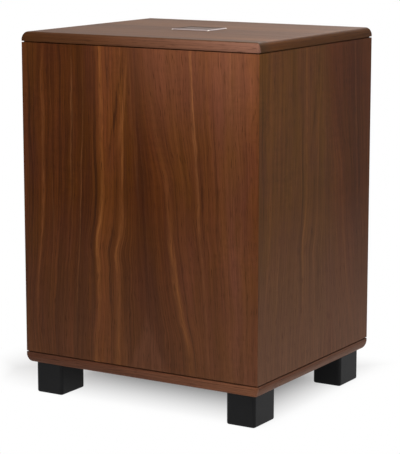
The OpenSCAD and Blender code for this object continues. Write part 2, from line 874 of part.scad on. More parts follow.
module spider() {
    steps = 8 * spider_waves;
    mid = [for (i = [0 : steps]) let (r = spider_in_r + (spider_out_r - spider_in_r) * i / steps)
        [r, spider_wave(r)]];
    line = concat(mid, [[spider_rim_r, spider_z]]);
    half_t = [0, spider_t / 2];
    color("goldenrod") at_driver() rotate_extrude() polygon(concat(
        [for (p = line) p - half_t], [for (i = [len(line) - 1 : -1 : 0]) line[i] + half_t]));
}

module motor_top_plate() {
    color(steel) at_driver() translate([0, 0, motor_z])
        ring(motor_plate_r, motor_hole_r, motor_plate_t);
}

module magnet() {
    color([0.2, 0.2, 0.21]) at_driver() translate([0, 0, magnet_z])
        ring(magnet_r, motor_hole_r + magnet_setback, magnet_t);
}

module pole_yoke() {
    color(steel) at_driver() difference() {
        union() {
            translate([0, 0, yoke_z]) cylinder(h = yoke_t, r = motor_plate_r);
            translate([0, 0, motor_z]) cylinder(h = yoke_z - motor_z + yoke_t, r = pole_r);
        }
        translate([0, 0, motor_z - cut]) cylinder(h = yoke_z + yoke_t, r = vent_r);
    }
}

module terminal_block() {
    color(black) at_driver() rotate([0, 0, terminal_angle])
        translate([terminal_r, -terminal_w / 2, terminal_z]) cube([terminal_t, terminal_w, terminal_h]);
}

// Two braided leads that hang in a slack bow from the terminal block to the back of the cone
module tinsel_leads() {
    end_z = landing_z + (cone_rim_r - tinsel_end_r) * cone_slope + cone_rise;
    drop = terminal_z - end_z;
    color("peru") at_driver() rotate([0, 0, terminal_angle])
        for (s = [-1, 1])
            translate([0, s * tinsel_spread, 0])
                wire([
                    [tinsel_start_r, 0, terminal_z - glue_clear],
                    [tinsel_start_r, 0, terminal_z - drop / 3],
                    [(tinsel_start_r + tinsel_end_r) / 2 + tinsel_bow, 0, end_z + drop / 4],
                    [tinsel_end_r + tinsel_bow, 0, end_z + tinsel_bow],
                    [tinsel_end_r, 0, end_z + tinsel_stand]],
                    tinsel_r, [0, 1, 0], sides = 6, steps = 3);
}

// Driver, moving pieces

module cone() {
    color([0.13, 0.13, 0.14]) at_driver() rotate_extrude() polygon([
        [cone_r, landing_z], [cone_r, landing_z + cone_t],
        [cone_rim_r + cone_t / 2, landing_z + cone_t], [neck_r, neck_z + cone_rise],
        [neck_r, neck_z], [cone_rim_r, landing_z]]);
}

module dust_cap() {
    color([0.1, 0.1, 0.11]) at_driver() translate([0, 0, cap_z - cap_h + cap_ball_r])
        rotate_extrude() intersection() {
            difference() {
                circle(cap_ball_r);
                circle(cap_ball_r - cap_t);
            }
            translate([0, -cap_ball_r]) square([cap_r, cap_h]);
        }
}

module coil_former() {
    color("tan") at_driver() translate([0, 0, former_low_z])
        ring(former_r, coil_r, former_top_z - former_low_z);
}

module voice_coil() {
    color("chocolate") at_driver() translate([0, 0, coil_mid_z - coil_len / 2])
        ring(winding_r, former_r + glue_clear / 2, coil_len);
}

// Amplifier

module inlet_hole() {
    square([inlet_body_w + 2 * screw_clear, inlet_body_h + 2 * screw_clear], center = true);
}

module switch_hole() {
    square([switch_body_w + 2 * screw_clear, switch_body_h + 2 * screw_clear], center = true);
}

module amp_plate() {
    color(black) difference() {
        at_plate(0, 0) slab(-amp_t, 0) difference() {
            rounded_rect(amp_w, amp_h, amp_corner_r);
            for (i = [-1 : 1]) translate([i * knob_pitch, knob_z]) circle(bush_r + screw_clear);
            for (x = [phase_x, mode_x]) translate([x, switch_z]) circle(toggle_bush_r + screw_clear);
            for (x = jack_x) translate([x, jack_z]) circle(boss_r + screw_clear);
            translate([led_x, led_z]) circle(led_r + screw_clear);
            translate([rocker_x, rocker_z]) switch_hole();
            translate([inlet_x, inlet_z]) inlet_hole();
        }
        at_amp_screws()
            translate([0, -amp_t - cut, 0])
                outwards() cylinder(h = amp_t + 2 * cut, r = amp_screw_r + screw_clear);
    }
}

module amp_gasket() {
    color(rubber) difference() {
        at_plate(0, 0) slab(-amp_t - amp_gasket_t, -amp_t) difference() {
            rounded_rect(amp_w, amp_h, amp_corner_r);
            rounded_rect(amp_hole_w, amp_hole_h, amp_corner_r);
        }
        at_amp_screws()
            translate([0, -amp_t - amp_gasket_t - cut, 0])
                outwards() cylinder(h = amp_gasket_t + 2 * cut, r = amp_screw_r + screw_clear);
    }
}

module amp_screws() {
    color(black) at_amp_screws() outwards() difference() {
        union() {
            cylinder(h = amp_head_h, r1 = amp_head_r, r2 = amp_head_r * 0.7);
            translate([0, 0, -amp_screw_len]) cylinder(h = amp_screw_len, r = amp_screw_r);
        }
        for (a = [0, 90])
            rotate([0, 0, a]) translate([0, 0, amp_head_h])
                cube([amp_head_r, amp_head_r / 4, amp_head_h], center = true);
    }
}

// Tray that closes the amplifier off from the box, with posts for the main board
module amp_housing() {
    color("silver") {
        difference() {
            at_plate(0, 0) slab(-amp_t - housing_d, -amp_t)
                rounded_rect(housing_w, housing_h, amp_corner_r - housing_gap);
            at_plate(0, 0) slab(-amp_t - housing_d + housing_t, -amp_t + cut)
                square([housing_w - 2 * housing_t, housing_h - 2 * housing_t], center = true);
            translate([lead_x, lead_hole_y, housing_floor_z - cut])
                cylinder(h = housing_t + 2 * cut, r = lead_r + seat_clear);
        }
        for (x = [-1, 1], z = [-1, 1])
            translate([x * (main_board_w / 2 - 2 * post_r), main_board_y - post_h,
                       amp_z + z * (main_board_h / 2 - 2 * post_r)])
                outwards() cylinder(h = post_h, r = post_r);
    }
}

// Ribbed aluminium block that cools the output stage, with upright fins
module heat_sink() {
    pitch = (sink_w - fin_t) / (fin_count - 1);
    color(black) at_plate(sink_x, sink_z) linear_extrude(sink_h, center = true) {
        translate([-sink_w / 2, 0]) square([sink_w, sink_base_t]);
        for (i = [0 : fin_count - 1])
            translate([-sink_w / 2 + i * pitch, 0]) square([fin_t, sink_base_t + fin_h]);
    }
}

module main_board() {
    color("darkgreen") translate([0, main_board_y, amp_z])
        slab(0, board_t) square([main_board_w, main_board_h], center = true);
}

module input_board() {
    color("darkgreen") at_plate(0, input_board_z)
        slab(-amp_t - input_board_gap - board_t, -amp_t - input_board_gap)
            square([input_board_w, input_board_h], center = true);
}

// Wound ring core, seen from outside as a ring with rounded edges
module power_transformer() {
    mid_r = (transformer_r + transformer_hole_r) / 2;
    half = (transformer_r - transformer_hole_r) / 2;
    color([0.75, 0.55, 0.2]) at_plate(transformer_x, transformer_z)
        translate([0, -amp_t - transformer_t, 0]) outwards() rotate_extrude()
            translate([mid_r, transformer_t / 2])
                rounded_rect(2 * half, transformer_t, transformer_round);
}

module filter_capacitors() {
    color("navy") for (x = capacitor_x)
        translate([x, main_board_y + board_t, amp_z + capacitor_z])
            outwards() cylinder(h = capacitor_h, r = capacitor_r);
}

// Controls

module pot_bodies() {
    color(steel) for (i = [-1 : 1]) at_plate(i * knob_pitch, knob_z) outwards() difference() {
        union() {
            translate([0, 0, -amp_t - input_board_gap]) cylinder(h = input_board_gap, r = pot_r);
            translate([0, 0, -amp_t]) cylinder(h = amp_t + bush_out, r = bush_r);
        }
        translate([0, 0, -amp_t - input_board_gap + pot_floor])
            cylinder(h = amp_t + input_board_gap + bush_out, r = shaft_r + turn_clear);
    }
}

module toggle_bodies() {
    color(steel) for (x = [phase_x, mode_x]) at_plate(x, switch_z) difference() {
        union() {
            slab(-amp_t - input_board_gap, -amp_t)
                square([toggle_body_w, toggle_body_h], center = true);
            translate([0, -amp_t, 0])
                outwards() cylinder(h = amp_t + toggle_bush_out, r = toggle_bush_r);
        }
        translate([0, toggle_pivot_y - 2 * toggle_ball_r, 0])
            outwards() cylinder(h = toggle_bush_out + 2 * toggle_ball_r, r = toggle_bore_r);
        translate([0, toggle_pivot_y, 0])
            toggle_pin(toggle_pin_r + turn_clear, toggle_bush_r + cut);
    }
}

// Cross pin on the X axis that a toggle lever turns on
module toggle_pin(r, reach) {
    rotate([0, 90, 0]) cylinder(h = 2 * reach, r = r, center = true);
}

module nut(hole_r) {
    outwards() difference() {
        cylinder(h = nut_t, r = nut_r, $fn = 6);
        translate([0, 0, -cut]) cylinder(h = nut_t + 2 * cut, r = hole_r + glue_clear);
    }
}

module panel_nuts() {
    color("silver") {
        for (i = [-1 : 1]) at_plate(i * knob_pitch, knob_z) nut(bush_r);
        for (x = [phase_x, mode_x]) at_plate(x, switch_z) nut(toggle_bush_r);
    }
}

module shaft(x) {
    shaft_low = -amp_t - input_board_gap + pot_floor + seat_clear;
    color("silver") at_plate(x, knob_z) translate([0, shaft_low, 0])
        outwards() cylinder(h = knob_h - knob_roof - shaft_low, r = shaft_r);
}

// Fluted knob, hollow over the nut, with a pointer groove
module knob(x) {
    body_r = knob_r - knob_edge;
    color(black) at_plate(x, knob_z) outwards() difference() {
        union() {
            translate([0, 0, knob_lift]) cylinder(h = knob_skirt_t, r = knob_r);
            translate([0, 0, knob_lift]) cylinder(h = knob_h - knob_lift - knob_edge, r = body_r);
            translate([0, 0, knob_h - knob_edge])
                cylinder(h = knob_edge, r1 = body_r, r2 = body_r - knob_edge);
        }
        translate([0, 0, knob_lift - cut])
            cylinder(h = knob_hollow_h - knob_lift + cut, r = nut_r + seat_clear);
        cylinder(h = knob_h - knob_roof, r = shaft_r + glue_clear / 2);
        for (i = [0 : flute_count - 1])
            rotate([0, 0, (i + 0.5) * 360 / flute_count])
                translate([body_r + flute_set, 0, knob_lift + knob_skirt_t + flute_set])
                    cylinder(h = knob_h, r = flute_r);
        translate([-pointer_w / 2, -knob_r, knob_h - pointer_d])
            cube([pointer_w, knob_r - 2 * pointer_w, 2 * pointer_d]);
    }
}

module level_shaft() shaft(knob_pitch);
module crossover_shaft() shaft(0);
module lfe_shaft() shaft(-knob_pitch);
module level_knob() knob(knob_pitch);
module crossover_knob() knob(0);
module lfe_knob() knob(-knob_pitch);

// Bat-shaped lever on a pinned ball, tilted by an angle about X
module toggle_lever(x, tilt) {
    color("silver") at_plate(x, switch_z) translate([0, toggle_pivot_y, 0])
        rotate([tilt, 0, 0]) outwards() {
            sphere(toggle_ball_r);
            toggle_pin(toggle_pin_r, toggle_pin_reach);
            cylinder(h = toggle_len - toggle_tip_r, r1 = toggle_neck_r, r2 = toggle_tip_r);
            translate([0, 0, toggle_len - toggle_tip_r]) sphere(toggle_tip_r);
        }
}

module phase_lever() toggle_lever(phase_x, -toggle_swing / 2);
module mode_lever() toggle_lever(mode_x, 0);

// Round bed about the rocker's pivot
module rocker_round(r, w) {
    translate([-w / 2, rocker_pivot_y, 0]) rotate([0, 90, 0]) cylinder(h = w, r = r);
}

module power_switch_body() {
    bezel_w = switch_body_w + 2 * rocker_bezel;
    bezel_h = switch_body_h + 2 * rocker_bezel;
    pin_span = rocker_w + 2 * (rocker_pin_reach + seat_clear);
    color(black) at_plate(rocker_x, rocker_z) difference() {
        union() {
            slab(0, rocker_bezel_t) rounded_rect(bezel_w, bezel_h, rocker_bezel);
            slab(-switch_body_d, 0) square([switch_body_w, switch_body_h], center = true);
        }
        rocker_round(rocker_r + seat_clear, rocker_w + 2 * seat_clear);
        rocker_round(rocker_pin_r + turn_clear, pin_span);
    }
}

// Rocker with a dished face and two moulded pivot pins, drawn pressed at its upper end
module power_rocker() {
    sole_y = rocker_pivot_y - rocker_sole;
    color([0.16, 0.16, 0.17]) at_plate(rocker_x, rocker_z) translate([0, rocker_pivot_y, 0])
        rotate([rocker_swing / 2, 0, 0]) translate([0, -rocker_pivot_y, 0]) {
            intersection() {
                rocker_round(rocker_r, rocker_w);
                rotate([90, 0, 90]) linear_extrude(rocker_w + cut, center = true) polygon([
                    [sole_y, -rocker_r], [sole_y, rocker_r], [rocker_face_y, rocker_r],
                    [rocker_face_y - rocker_dip, 0], [rocker_face_y, -rocker_r]]);
            }
            rocker_round(rocker_pin_r, rocker_w + 2 * rocker_pin_reach);
        }
}

module status_led() {
    color("limegreen") at_plate(led_x, led_z) outwards() {
        translate([0, 0, -amp_t - led_depth]) cylinder(h = amp_t + led_depth + led_stand, r = led_r);
        translate([0, 0, led_stand]) sphere(led_r);
        translate([0, 0, -amp_t - led_depth]) cylinder(h = led_depth, r = led_collar_r);
        for (s = [-1, 1])
            translate([s * led_r * 2 / 3, 0, -amp_t - input_board_gap])
                cylinder(h = input_board_gap - led_depth + led_leg_bite, r = led_leg_r);
    }
}

// Sockets

module inlet_well() {
    w = inlet_well_w / 2;
    h = inlet_well_h / 2;
    polygon([
        [-w, -h], [w, -h], [w, h - well_corner], [w - well_corner, h], [well_corner - w, h],
        [-w, h - well_corner]]);
}

// Repeats children at the mains pins, earth in the middle and above
module at_pins() {
    for (i = [-1 : 1])
        translate([i * pin_pitch, well_z - pin_h / 2 + (1 - abs(i)) * earth_rise]) children();
}

module mains_inlet() {
    flange_w = inlet_body_w + 2 * inlet_lip;
    flange_h = inlet_body_h + 2 * inlet_lip;
    color(black) at_plate(inlet_x, inlet_z) difference() {
        union() {
            slab(0, inlet_flange_t) rounded_rect(flange_w, flange_h, inlet_lip);
            slab(-inlet_body_d, 0) square([inlet_body_w, inlet_body_h], center = true);
        }
        slab(well_floor_y, inlet_flange_t + cut) translate([0, well_z]) inlet_well();
        slab(inlet_flange_t - drawer_d - seat_clear, inlet_flange_t + cut) translate([0, drawer_z])
            square([drawer_w + 2 * seat_clear, drawer_h + 2 * seat_clear], center = true);
        slab(-inlet_body_d - cut, well_floor_y + cut) at_pins() square([pin_w, pin_h], center = true);
    }
}

module mains_pins() {
    color(steel) at_plate(inlet_x, inlet_z)
        slab(-inlet_body_d - pin_tail, well_floor_y + pin_len)
            at_pins() square([pin_w, pin_h], center = true);
}

// Drawer with a cradle for the fuse and a grip along its lower edge
module fuse_drawer() {
    face_w = drawer_w + 2 * (seat_clear + drawer_face_lip);
    face_h = drawer_h + 2 * (seat_clear + drawer_face_lip);
    cradle = fuse_r + fuse_seat;
    color(black) at_plate(inlet_x, inlet_z) translate([0, 0, drawer_z]) difference() {
        union() {
            slab(inlet_flange_t - drawer_d, inlet_flange_t + drawer_face_t)
                square([drawer_w, drawer_h], center = true);
            slab(inlet_flange_t, inlet_flange_t + drawer_face_t)
                rounded_rect(face_w, face_h, drawer_face_lip);
            translate([0, 0, -face_h / 2 + drawer_face_lip + drawer_grip / 2])
                slab(inlet_flange_t, inlet_flange_t + drawer_face_t + drawer_grip)
                    square([drawer_w, drawer_grip], center = true);
        }
        translate([-fuse_len / 2 - fuse_seat, fuse_y, 0])
            rotate([0, 90, 0]) cylinder(h = fuse_len + 2 * fuse_seat, r = cradle);
        translate([-fuse_len / 2 - fuse_seat, fuse_y - cradle, 0])
            cube([fuse_len + 2 * fuse_seat, 2 * cradle, drawer_h]);
    }
}

module fuse() {
    color("gainsboro") at_plate(inlet_x, inlet_z)
        translate([-fuse_len / 2, fuse_y, drawer_z])
            rotate([0, 90, 0]) cylinder(h = fuse_len, r = fuse_r);
}

module phono_shells() {
    tail = amp_t + input_board_gap + washer_t;
    color("gold") for (x = jack_x) at_plate(x, jack_z) outwards() difference() {
        union() {
            translate([0, 0, washer_t]) cylinder(h = jack_len, r = jack_r);
            translate([0, 0, washer_t - tail]) cylinder(h = tail, r = jack_tail_r);
        }
        translate([0, 0, washer_t - tail - cut])
            cylinder(h = tail + jack_len + 2 * cut, r = jack_r - jack_wall);
    }
}

// A washer with a boss outside each shell, and a core inside it
module phono_insulators() {
    color("whitesmoke") for (x = jack_x) at_plate(x, jack_z) outwards() {
        difference() {
            union() {
                cylinder(h = washer_t, r = washer_r);
                translate([0, 0, -amp_t]) cylinder(h = amp_t, r = boss_r);
            }
            translate([0, 0, -amp_t - cut])
                cylinder(h = amp_t + washer_t + 2 * cut, r = jack_tail_r + glue_clear);
        }
        translate([0, 0, -amp_t - input_board_gap])
            ring(jack_r - jack_wall - glue_clear, core_hole_r, core_len);
    }
}

module driver_lead() {
    color([0.5, 0.1, 0.1]) wire(lead_route, lead_r, [1, 0, 0]);
}

front_panel();
back_panel();
left_side_panel();
right_side_panel();
top_panel();
bottom_panel();
sub_baffle();
window_brace();
wadding();
foot_front_left();
foot_front_right();
foot_back_left();
foot_back_right();
foot_screws();
badge_plate();
driver_frame();
driver_gasket();
trim_ring();
driver_screws();
surround();
spider();
motor_top_plate();
magnet();
pole_yoke();
terminal_block();
tinsel_leads();
cone();
dust_cap();
coil_former();
voice_coil();
amp_plate();
amp_gasket();
amp_screws();
amp_housing();
heat_sink();
main_board();
input_board();
power_transformer();
filter_capacitors();
pot_bodies();
toggle_bodies();
panel_nuts();
level_shaft();
level_knob();
crossover_shaft();
crossover_knob();
lfe_shaft();
lfe_knob();
phase_lever();
mode_lever();
power_switch_body();
power_rocker();
mains_inlet();
mains_pins();
fuse_drawer();
fuse();
phono_shells();
phono_insulators();
status_led();
driver_lead();
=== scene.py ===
# %% [markdown]
# # Dressing a walnut subwoofer
#
# The hard parts of this subwoofer come ready made, at their real size and in their real places.
# This lesson gives each of them its finish: walnut veneer, moulded plastic, rubber, pressed paper,
# paint and bare metal. It also makes the pieces that are soft, printed or let in, which solids
# show poorly. Lengths are in metres, the floor is at height 0 and the front of the box faces -Y.
# %% Load the frame
import math

import bmesh
import bpy
from mathutils import Matrix, Vector, noise


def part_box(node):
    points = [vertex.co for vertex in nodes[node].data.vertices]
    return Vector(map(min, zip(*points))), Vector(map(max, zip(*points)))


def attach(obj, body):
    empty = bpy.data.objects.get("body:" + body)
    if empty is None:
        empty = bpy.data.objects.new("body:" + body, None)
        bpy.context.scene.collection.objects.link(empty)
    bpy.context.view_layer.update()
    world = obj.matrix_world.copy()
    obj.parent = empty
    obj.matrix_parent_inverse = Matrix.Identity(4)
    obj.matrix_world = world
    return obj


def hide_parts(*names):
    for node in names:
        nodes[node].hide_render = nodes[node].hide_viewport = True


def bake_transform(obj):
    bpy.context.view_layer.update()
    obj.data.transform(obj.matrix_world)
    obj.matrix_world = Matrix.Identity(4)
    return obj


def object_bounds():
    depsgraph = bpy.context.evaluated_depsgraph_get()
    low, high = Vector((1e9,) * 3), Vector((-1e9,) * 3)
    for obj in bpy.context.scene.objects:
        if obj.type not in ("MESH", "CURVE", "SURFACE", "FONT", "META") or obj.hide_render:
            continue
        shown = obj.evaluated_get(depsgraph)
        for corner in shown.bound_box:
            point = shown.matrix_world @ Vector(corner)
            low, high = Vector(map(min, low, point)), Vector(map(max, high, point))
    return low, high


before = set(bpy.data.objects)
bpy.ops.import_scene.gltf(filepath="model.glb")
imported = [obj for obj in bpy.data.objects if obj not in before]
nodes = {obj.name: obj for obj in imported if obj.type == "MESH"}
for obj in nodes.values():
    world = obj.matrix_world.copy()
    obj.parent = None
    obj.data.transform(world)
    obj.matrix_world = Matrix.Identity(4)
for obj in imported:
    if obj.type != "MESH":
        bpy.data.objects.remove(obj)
cad_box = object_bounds()
corners = [tuple(round(c, 4) for c in corner) for corner in cad_box]
print("solid pieces:", len(nodes), "overall box:", corners)

# %% [markdown]
# ## The camera
#
# The picture was taken from in front and to the right, from just above the top of the box. A long lens
# keeps the upright edges nearly parallel. Setting the place and the aim, and turning the camera to
# track the aim, is simpler to read than three angles.
# %% Camera
CAMERA_PLACE = Vector((1.2502, -2.0504, 0.6545))
CAMERA_AIM = Vector((0.0023, -0.0099, 0.2158))
LENS_MM = 146.0
SENSOR_MM = 36.0

scene = bpy.context.scene
scene.view_settings.view_transform = "Standard"
lens = bpy.data.cameras.new("view")
lens.lens = LENS_MM
lens.sensor_width = SENSOR_MM
camera = bpy.data.objects.new("view", lens)
camera.location = CAMERA_PLACE
camera.rotation_euler = (CAMERA_AIM - CAMERA_PLACE).to_track_quat("-Z", "Y").to_euler()
scene.collection.objects.link(camera)
scene.camera = camera
print("camera stands", round((CAMERA_AIM - CAMERA_PLACE).length, 3), "m away")

# %% [markdown]
# ## A short way to write materials
#
# A material is a tree of nodes. Clicking it together in the editor is quick, but in a script each
# node takes several lines. This small class adds one node per call and hands back its output, so a
# finish reads like a recipe. Every pattern is worked out from the object's own coordinates, which
# keeps wood grain and speckle fixed to the piece when it moves.
# %% Material recipes
def tone(red, green, blue):
    """A colour given in the 0 to 255 steps of a screen, as the linear values that a shader wants."""
    steps = [c / 255 for c in (red, green, blue)]
    linear = [c / 12.92 if c <= 0.04045 else ((c + 0.055) / 1.055) ** 2.4 for c in steps]
    return (*linear, 1.0)


class Finish:
    """A material built by short calls, each of which adds a node and returns its output."""

    def __init__(self, name, sockets):
        self.material = bpy.data.materials.new(name)
        self.material.use_nodes = True
        self.tree = self.material.node_tree
        self.shader = self.tree.nodes["Principled BSDF"]
        self.place = self.node("TexCoord", output="Object")
        self.set(sockets)

    def plug(self, socket, value):
        if isinstance(value, bpy.types.NodeSocket):
            self.tree.links.new(value, socket)
        else:
            socket.default_value = value

    def node(self, kind, inputs=(), output=0, **settings):
        made = self.tree.nodes.new("ShaderNode" + kind)
        for key, value in settings.items():
            setattr(made, key, value)
        for key, value in dict(inputs).items():
            self.plug(made.inputs[key], value)
        return made.outputs[output]

    def set(self, sockets):
        for name, value in sockets.items():
            self.plug(self.shader.inputs[name], value)

    def math(self, operation, a, b=0.0):
        return self.node("Math", {0: a, 1: b}, operation=operation)

    def plus(self, a, b):
        return self.math("ADD", a, b)

    def minus(self, a, b):
        return self.math("SUBTRACT", a, b)

    def times(self, a, b):
        return self.math("MULTIPLY", a, b)

    def apart(self, a, b):
        return self.math("ABSOLUTE", self.minus(a, b))

    def weigh(self, a, share_a, b, share_b):
        return self.plus(self.times(a, share_a), self.times(b, share_b))

    def axes(self):
        return tuple(self.node("SeparateXYZ", {"Vector": self.place}).node.outputs)

    def join(self, x, y, z):
        return self.node("CombineXYZ", {"X": x, "Y": y, "Z": z})

    def speckle(self, scale, detail=2.0, roughness=0.5, shift=(0, 0, 0), vector=None):
        """Noise from 0 to 1, stretched by a scale of its own along each axis."""
        spread = scale if isinstance(scale, tuple) else (scale, scale, scale)
        laid = {"Vector": vector or self.place, "Location": shift, "Scale": spread}
        settings = {"Vector": self.node("Mapping", laid), "Scale": 1.0, "Detail": detail}
        return self.node("TexNoise", {**settings, "Roughness": roughness})

    def span(self, value, low, high, to_low=0.0, to_high=1.0, kind="LINEAR"):
        """Carries a value from one range to another, and stops at its ends."""
        ends = {"Value": value, "From Min": low, "From Max": high, "To Min": to_low, "To Max": to_high}
        return self.node("MapRange", ends, interpolation_type=kind)

    def ease(self, *ends):
        """The same, but it starts and stops gently."""
        return self.span(*ends, kind="SMOOTHSTEP")

    def mix(self, share, a, b, blend="MIX"):
        return self.node("Mix", {0: share, 6: a, 7: b}, output=2, data_type="RGBA", blend_type=blend)

    def shade(self, colour, share):
        return self.mix(1.0, colour, self.join(share, share, share), blend="MULTIPLY")

    def ramp(self, value, stops):
        made = self.node("ValToRGB", {"Fac": value}).node
        bar = made.color_ramp.elements
        while len(bar) < len(stops):
            bar.new(0.5)
        for mark, (place, colour) in zip(bar, stops):
            mark.position = place
            mark.color = colour
        return made.outputs[0]

    def curve(self, value, points):
        """A smooth line through points whose two values run from 0 to 1."""
        made = self.node("FloatCurve", {"Value": value}).node
        line = made.mapping.curves[0]
        ordered = sorted(points)
        line.points[0].location = ordered[0]
        line.points[1].location = ordered[-1]
        for point in ordered[1:-1]:
            line.points.new(*point)
        made.mapping.update()
        return made.outputs[0]

    def tint(self, share, *rgb):
        """Lays a colour over a share of the finish's own."""
        self.colour = self.mix(share, self.colour, tone(*rgb))
        self.set({"Base Color": self.colour})

    def bump(self, height, strength, depth):
        inputs = {"Height": height, "Strength": strength, "Distance": depth}
        self.set({"Normal": self.node("Bump", inputs)})


def dress(finish, *names):
    """Gives solid pieces a finish in every material slot."""
    for name in names:
        slots = nodes[name].data.materials
        slots.clear()
        slots.append(finish.material)


print("recipes ready")

# %% [markdown]
# ## Floor and light
#
# The object stands on plain white, and only a soft shadow under it ties it to the ground. A floor
# that is just painted white would still look grey wherever the light falls off. So the camera sees
# a share of plain white in it, none deep under the box and full a little past its walls, and the
# rest is real light and shadow. On the left the shadow's edge leans back, away from the near corner.
# A softbox above that corner shapes the front from the top down, a larger one overhead lights the
# floor, and one behind lights the back.
# %% Floor, world and lamps
FLOOR_REACH = 20.0
FLOOR_WHITE = (0.92, 0.92, 0.92, 1.0)
FRONT_SHADOW = (-0.21, 0.015)
RIGHT_SHADOW = (-0.128, 0.022)
BACK_SHADOW = (-0.06, 0.12)
LEFT_SHADOW = (0.0, 0.17)
LEANING_SHADOW = (-0.03, 0.06)
SHADOW_LEAN = 0.75
WORLD_FILL = 0.46
SOFTBOXES = [  # name, place, aim, width and watts
    ("corner_softbox", (0.25, -0.40, 0.78), (0.06, -0.15, 0.36), 0.30, 3.7),
    ("overhead_softbox", (-0.2, -0.4, 2.2), (0.0, 0.0, 0.0), 1.6, 13.0),
    ("back_softbox", (-0.15, 1.4, 1.45), (0.0, 0.1, 0.30), 0.9, 9.0),
]


def extent(name):
    """The middle of a node's box, and half its size along each axis."""
    low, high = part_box(name)
    return (low + high) / 2, (high - low) / 2


def seen_rays(recipe):
    """1 for the rays that show the background: to the eye, in gloss and through glass."""
    path = recipe.node("LightPath").node
    seen = recipe.math("MAXIMUM", path.outputs["Is Camera Ray"], path.outputs["Is Glossy Ray"])
    return recipe.math("MAXIMUM", seen, path.outputs["Is Transmission Ray"])


def new_object(name, bm, finish):
    """Makes an object of a bmesh, at the origin and with a finish."""
    mesh = bpy.data.meshes.new(name)
    bm.to_mesh(mesh)
    bm.free()
    mesh.materials.append(finish.material)
    made = bpy.data.objects.new(name, mesh)
    scene.collection.objects.link(made)
    return made


class WorldRecipe(Finish):
    """The same short calls for the world's nodes."""

    def __init__(self, world):
        world.use_nodes = True
        self.tree = world.node_tree
        self.shader = self.tree.nodes["Background"]


scene.world = bpy.data.worlds.new("studio")
studio = WorldRecipe(scene.world)
studio.set({"Color": (1, 1, 1, 1), "Strength": studio.span(seen_rays(studio), 0, 1, WORLD_FILL, 1.0)})

paper = Finish("white_floor", {"Base Color": FLOOR_WHITE, "Roughness": 1.0, "Specular IOR Level": 0.0})
floor_bm = bmesh.new()
bmesh.ops.create_grid(floor_bm, x_segments=8, y_segments=8, size=FLOOR_REACH)
floor = new_object("floor", floor_bm, paper)

plan_centre, plan_half = extent("bottom_panel")
east, north, _ = paper.axes()
past_front = paper.minus(plan_centre.y - plan_half.y, north)
past_right = paper.minus(east, plan_half.x)
past_back = paper.minus(north, plan_centre.y + plan_half.y)
past_left = paper.minus(-plan_half.x, east)
leaning = paper.plus(past_left, paper.times(past_front, SHADOW_LEAN))
lift = 0.0
for past, fade in ((past_front, FRONT_SHADOW), (past_right, RIGHT_SHADOW), (past_back, BACK_SHADOW),
                   (past_left, LEFT_SHADOW), (leaning, LEANING_SHADOW)):
    lift = paper.math("MAXIMUM", paper.ease(past, *fade), lift)
glow = paper.node("Emission", {"Strength": 1.0})
share = paper.times(seen_rays(paper), lift)
surface = paper.node("MixShader", {0: share, 1: paper.shader.outputs[0], 2: glow})
paper.plug(paper.tree.nodes["Material Output"].inputs["Surface"], surface)

for name, place, aim, size, watts in SOFTBOXES:
    lamp = bpy.data.lights.new(name, "AREA")
    lamp.size = size
    lamp.energy = watts
    holder = bpy.data.objects.new(name, lamp)
    holder.location = place
    holder.rotation_euler = (Vector(aim) - Vector(place)).to_track_quat("-Z", "Y").to_euler()
    scene.collection.objects.link(holder)

# %% [markdown]
# ## Walnut
#
# The box is veneered in walnut under a thin satin lacquer. The veneer is crown cut: streaks of gold
# run up the leaf and lean apart, as they do where a board is cut off-centre through the log. Noise
# alone can't place them. So the main lines of the figure get a path each, from head to foot, and the
# space between two paths is stretched until every path is upright. In that straightened space a
# streak is just a stripe, and all the fine grain that is drawn there bends with the streaks.
# %% The leaf and its streaks
MM = 1000
UMBER = tone(66, 32, 12)
HEART = tone(73, 36, 13)
CHESTNUT = tone(86, 45, 17)
HAZEL = tone(89, 53, 22)
RUSSET = tone(84, 45, 22)
ROSEWOOD = tone(96, 55, 33)
ASHEN = tone(107, 74, 56)
TAWNY = tone(112, 65, 33)
GOLD = tone(134, 82, 40)
STRAW = tone(142, 90, 52)
INK = tone(38, 18, 8)
FLAME = tone(96, 60, 42)
# A pale pink tone for the head of the leaf: partly sapwood, partly painted light.
SAPWOOD_AND_LAMPLIGHT = tone(128, 84, 62)
OLIVE_CAST = (1.0, 1.05, 0.80, 1.0)
PLUM_CAST = (0.99, 0.96, 1.24, 1.0)
LACQUER = {"Specular IOR Level": 0.045, "Specular Tint": (1.0, 0.93, 0.84, 1.0), "IOR": 1.5}
WALL_LACQUER = {**LACQUER, "Specular IOR Level": 0.034}
TOP_LACQUER = {**LACQUER, "Specular IOR Level": 0.0385}

STREAK_PATHS = {  # place in the straightened leaf, then its place at each height from head to foot
    "red_edge": (-146, {464: -143, 331: -143, 256: -144, 206: -148, 167: -152, 120: -156, 56: -152}),
    "pale_hair": (-86, {464: -81, 264: -84, 198: -89, 92: -95, 56: -96}),
    "gold_wide": (-56, {464: -55, 388: -54, 337: -54, 286: -52, 253: -54, 212: -61, 177: -58, 132: -58,
                        86: -62, 56: -62}),
    "gold_slim": (-25, {464: -21, 384: -21, 297: -21, 255: -22, 226: -24, 202: -31, 180: -30, 56: -30}),
    "core": (8, {464: -6, 300: 4, 200: 10, 138: 14, 56: 14}),
    "crown_right": (52, {464: 13, 386: 23, 337: 34, 294: 45, 267: 48, 217: 51, 193: 56, 148: 63,
                         126: 68, 111: 73, 56: 82}),
    "bright_line": (92, {464: 79, 421: 80, 380: 83, 339: 87, 298: 89, 229: 94, 190: 98, 153: 101,
                         115: 103, 56: 107}),
}
LEAF_MARGIN = 15
LEAN_HEIGHT = 260

front_low, front_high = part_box("front_panel")
WALL_FOOT = front_low.z * MM
WALL_HEAD = front_high.z * MM
HALF_LEAF = front_high.x * MM
LEAF_EDGE = HALF_LEAF + LEAF_MARGIN


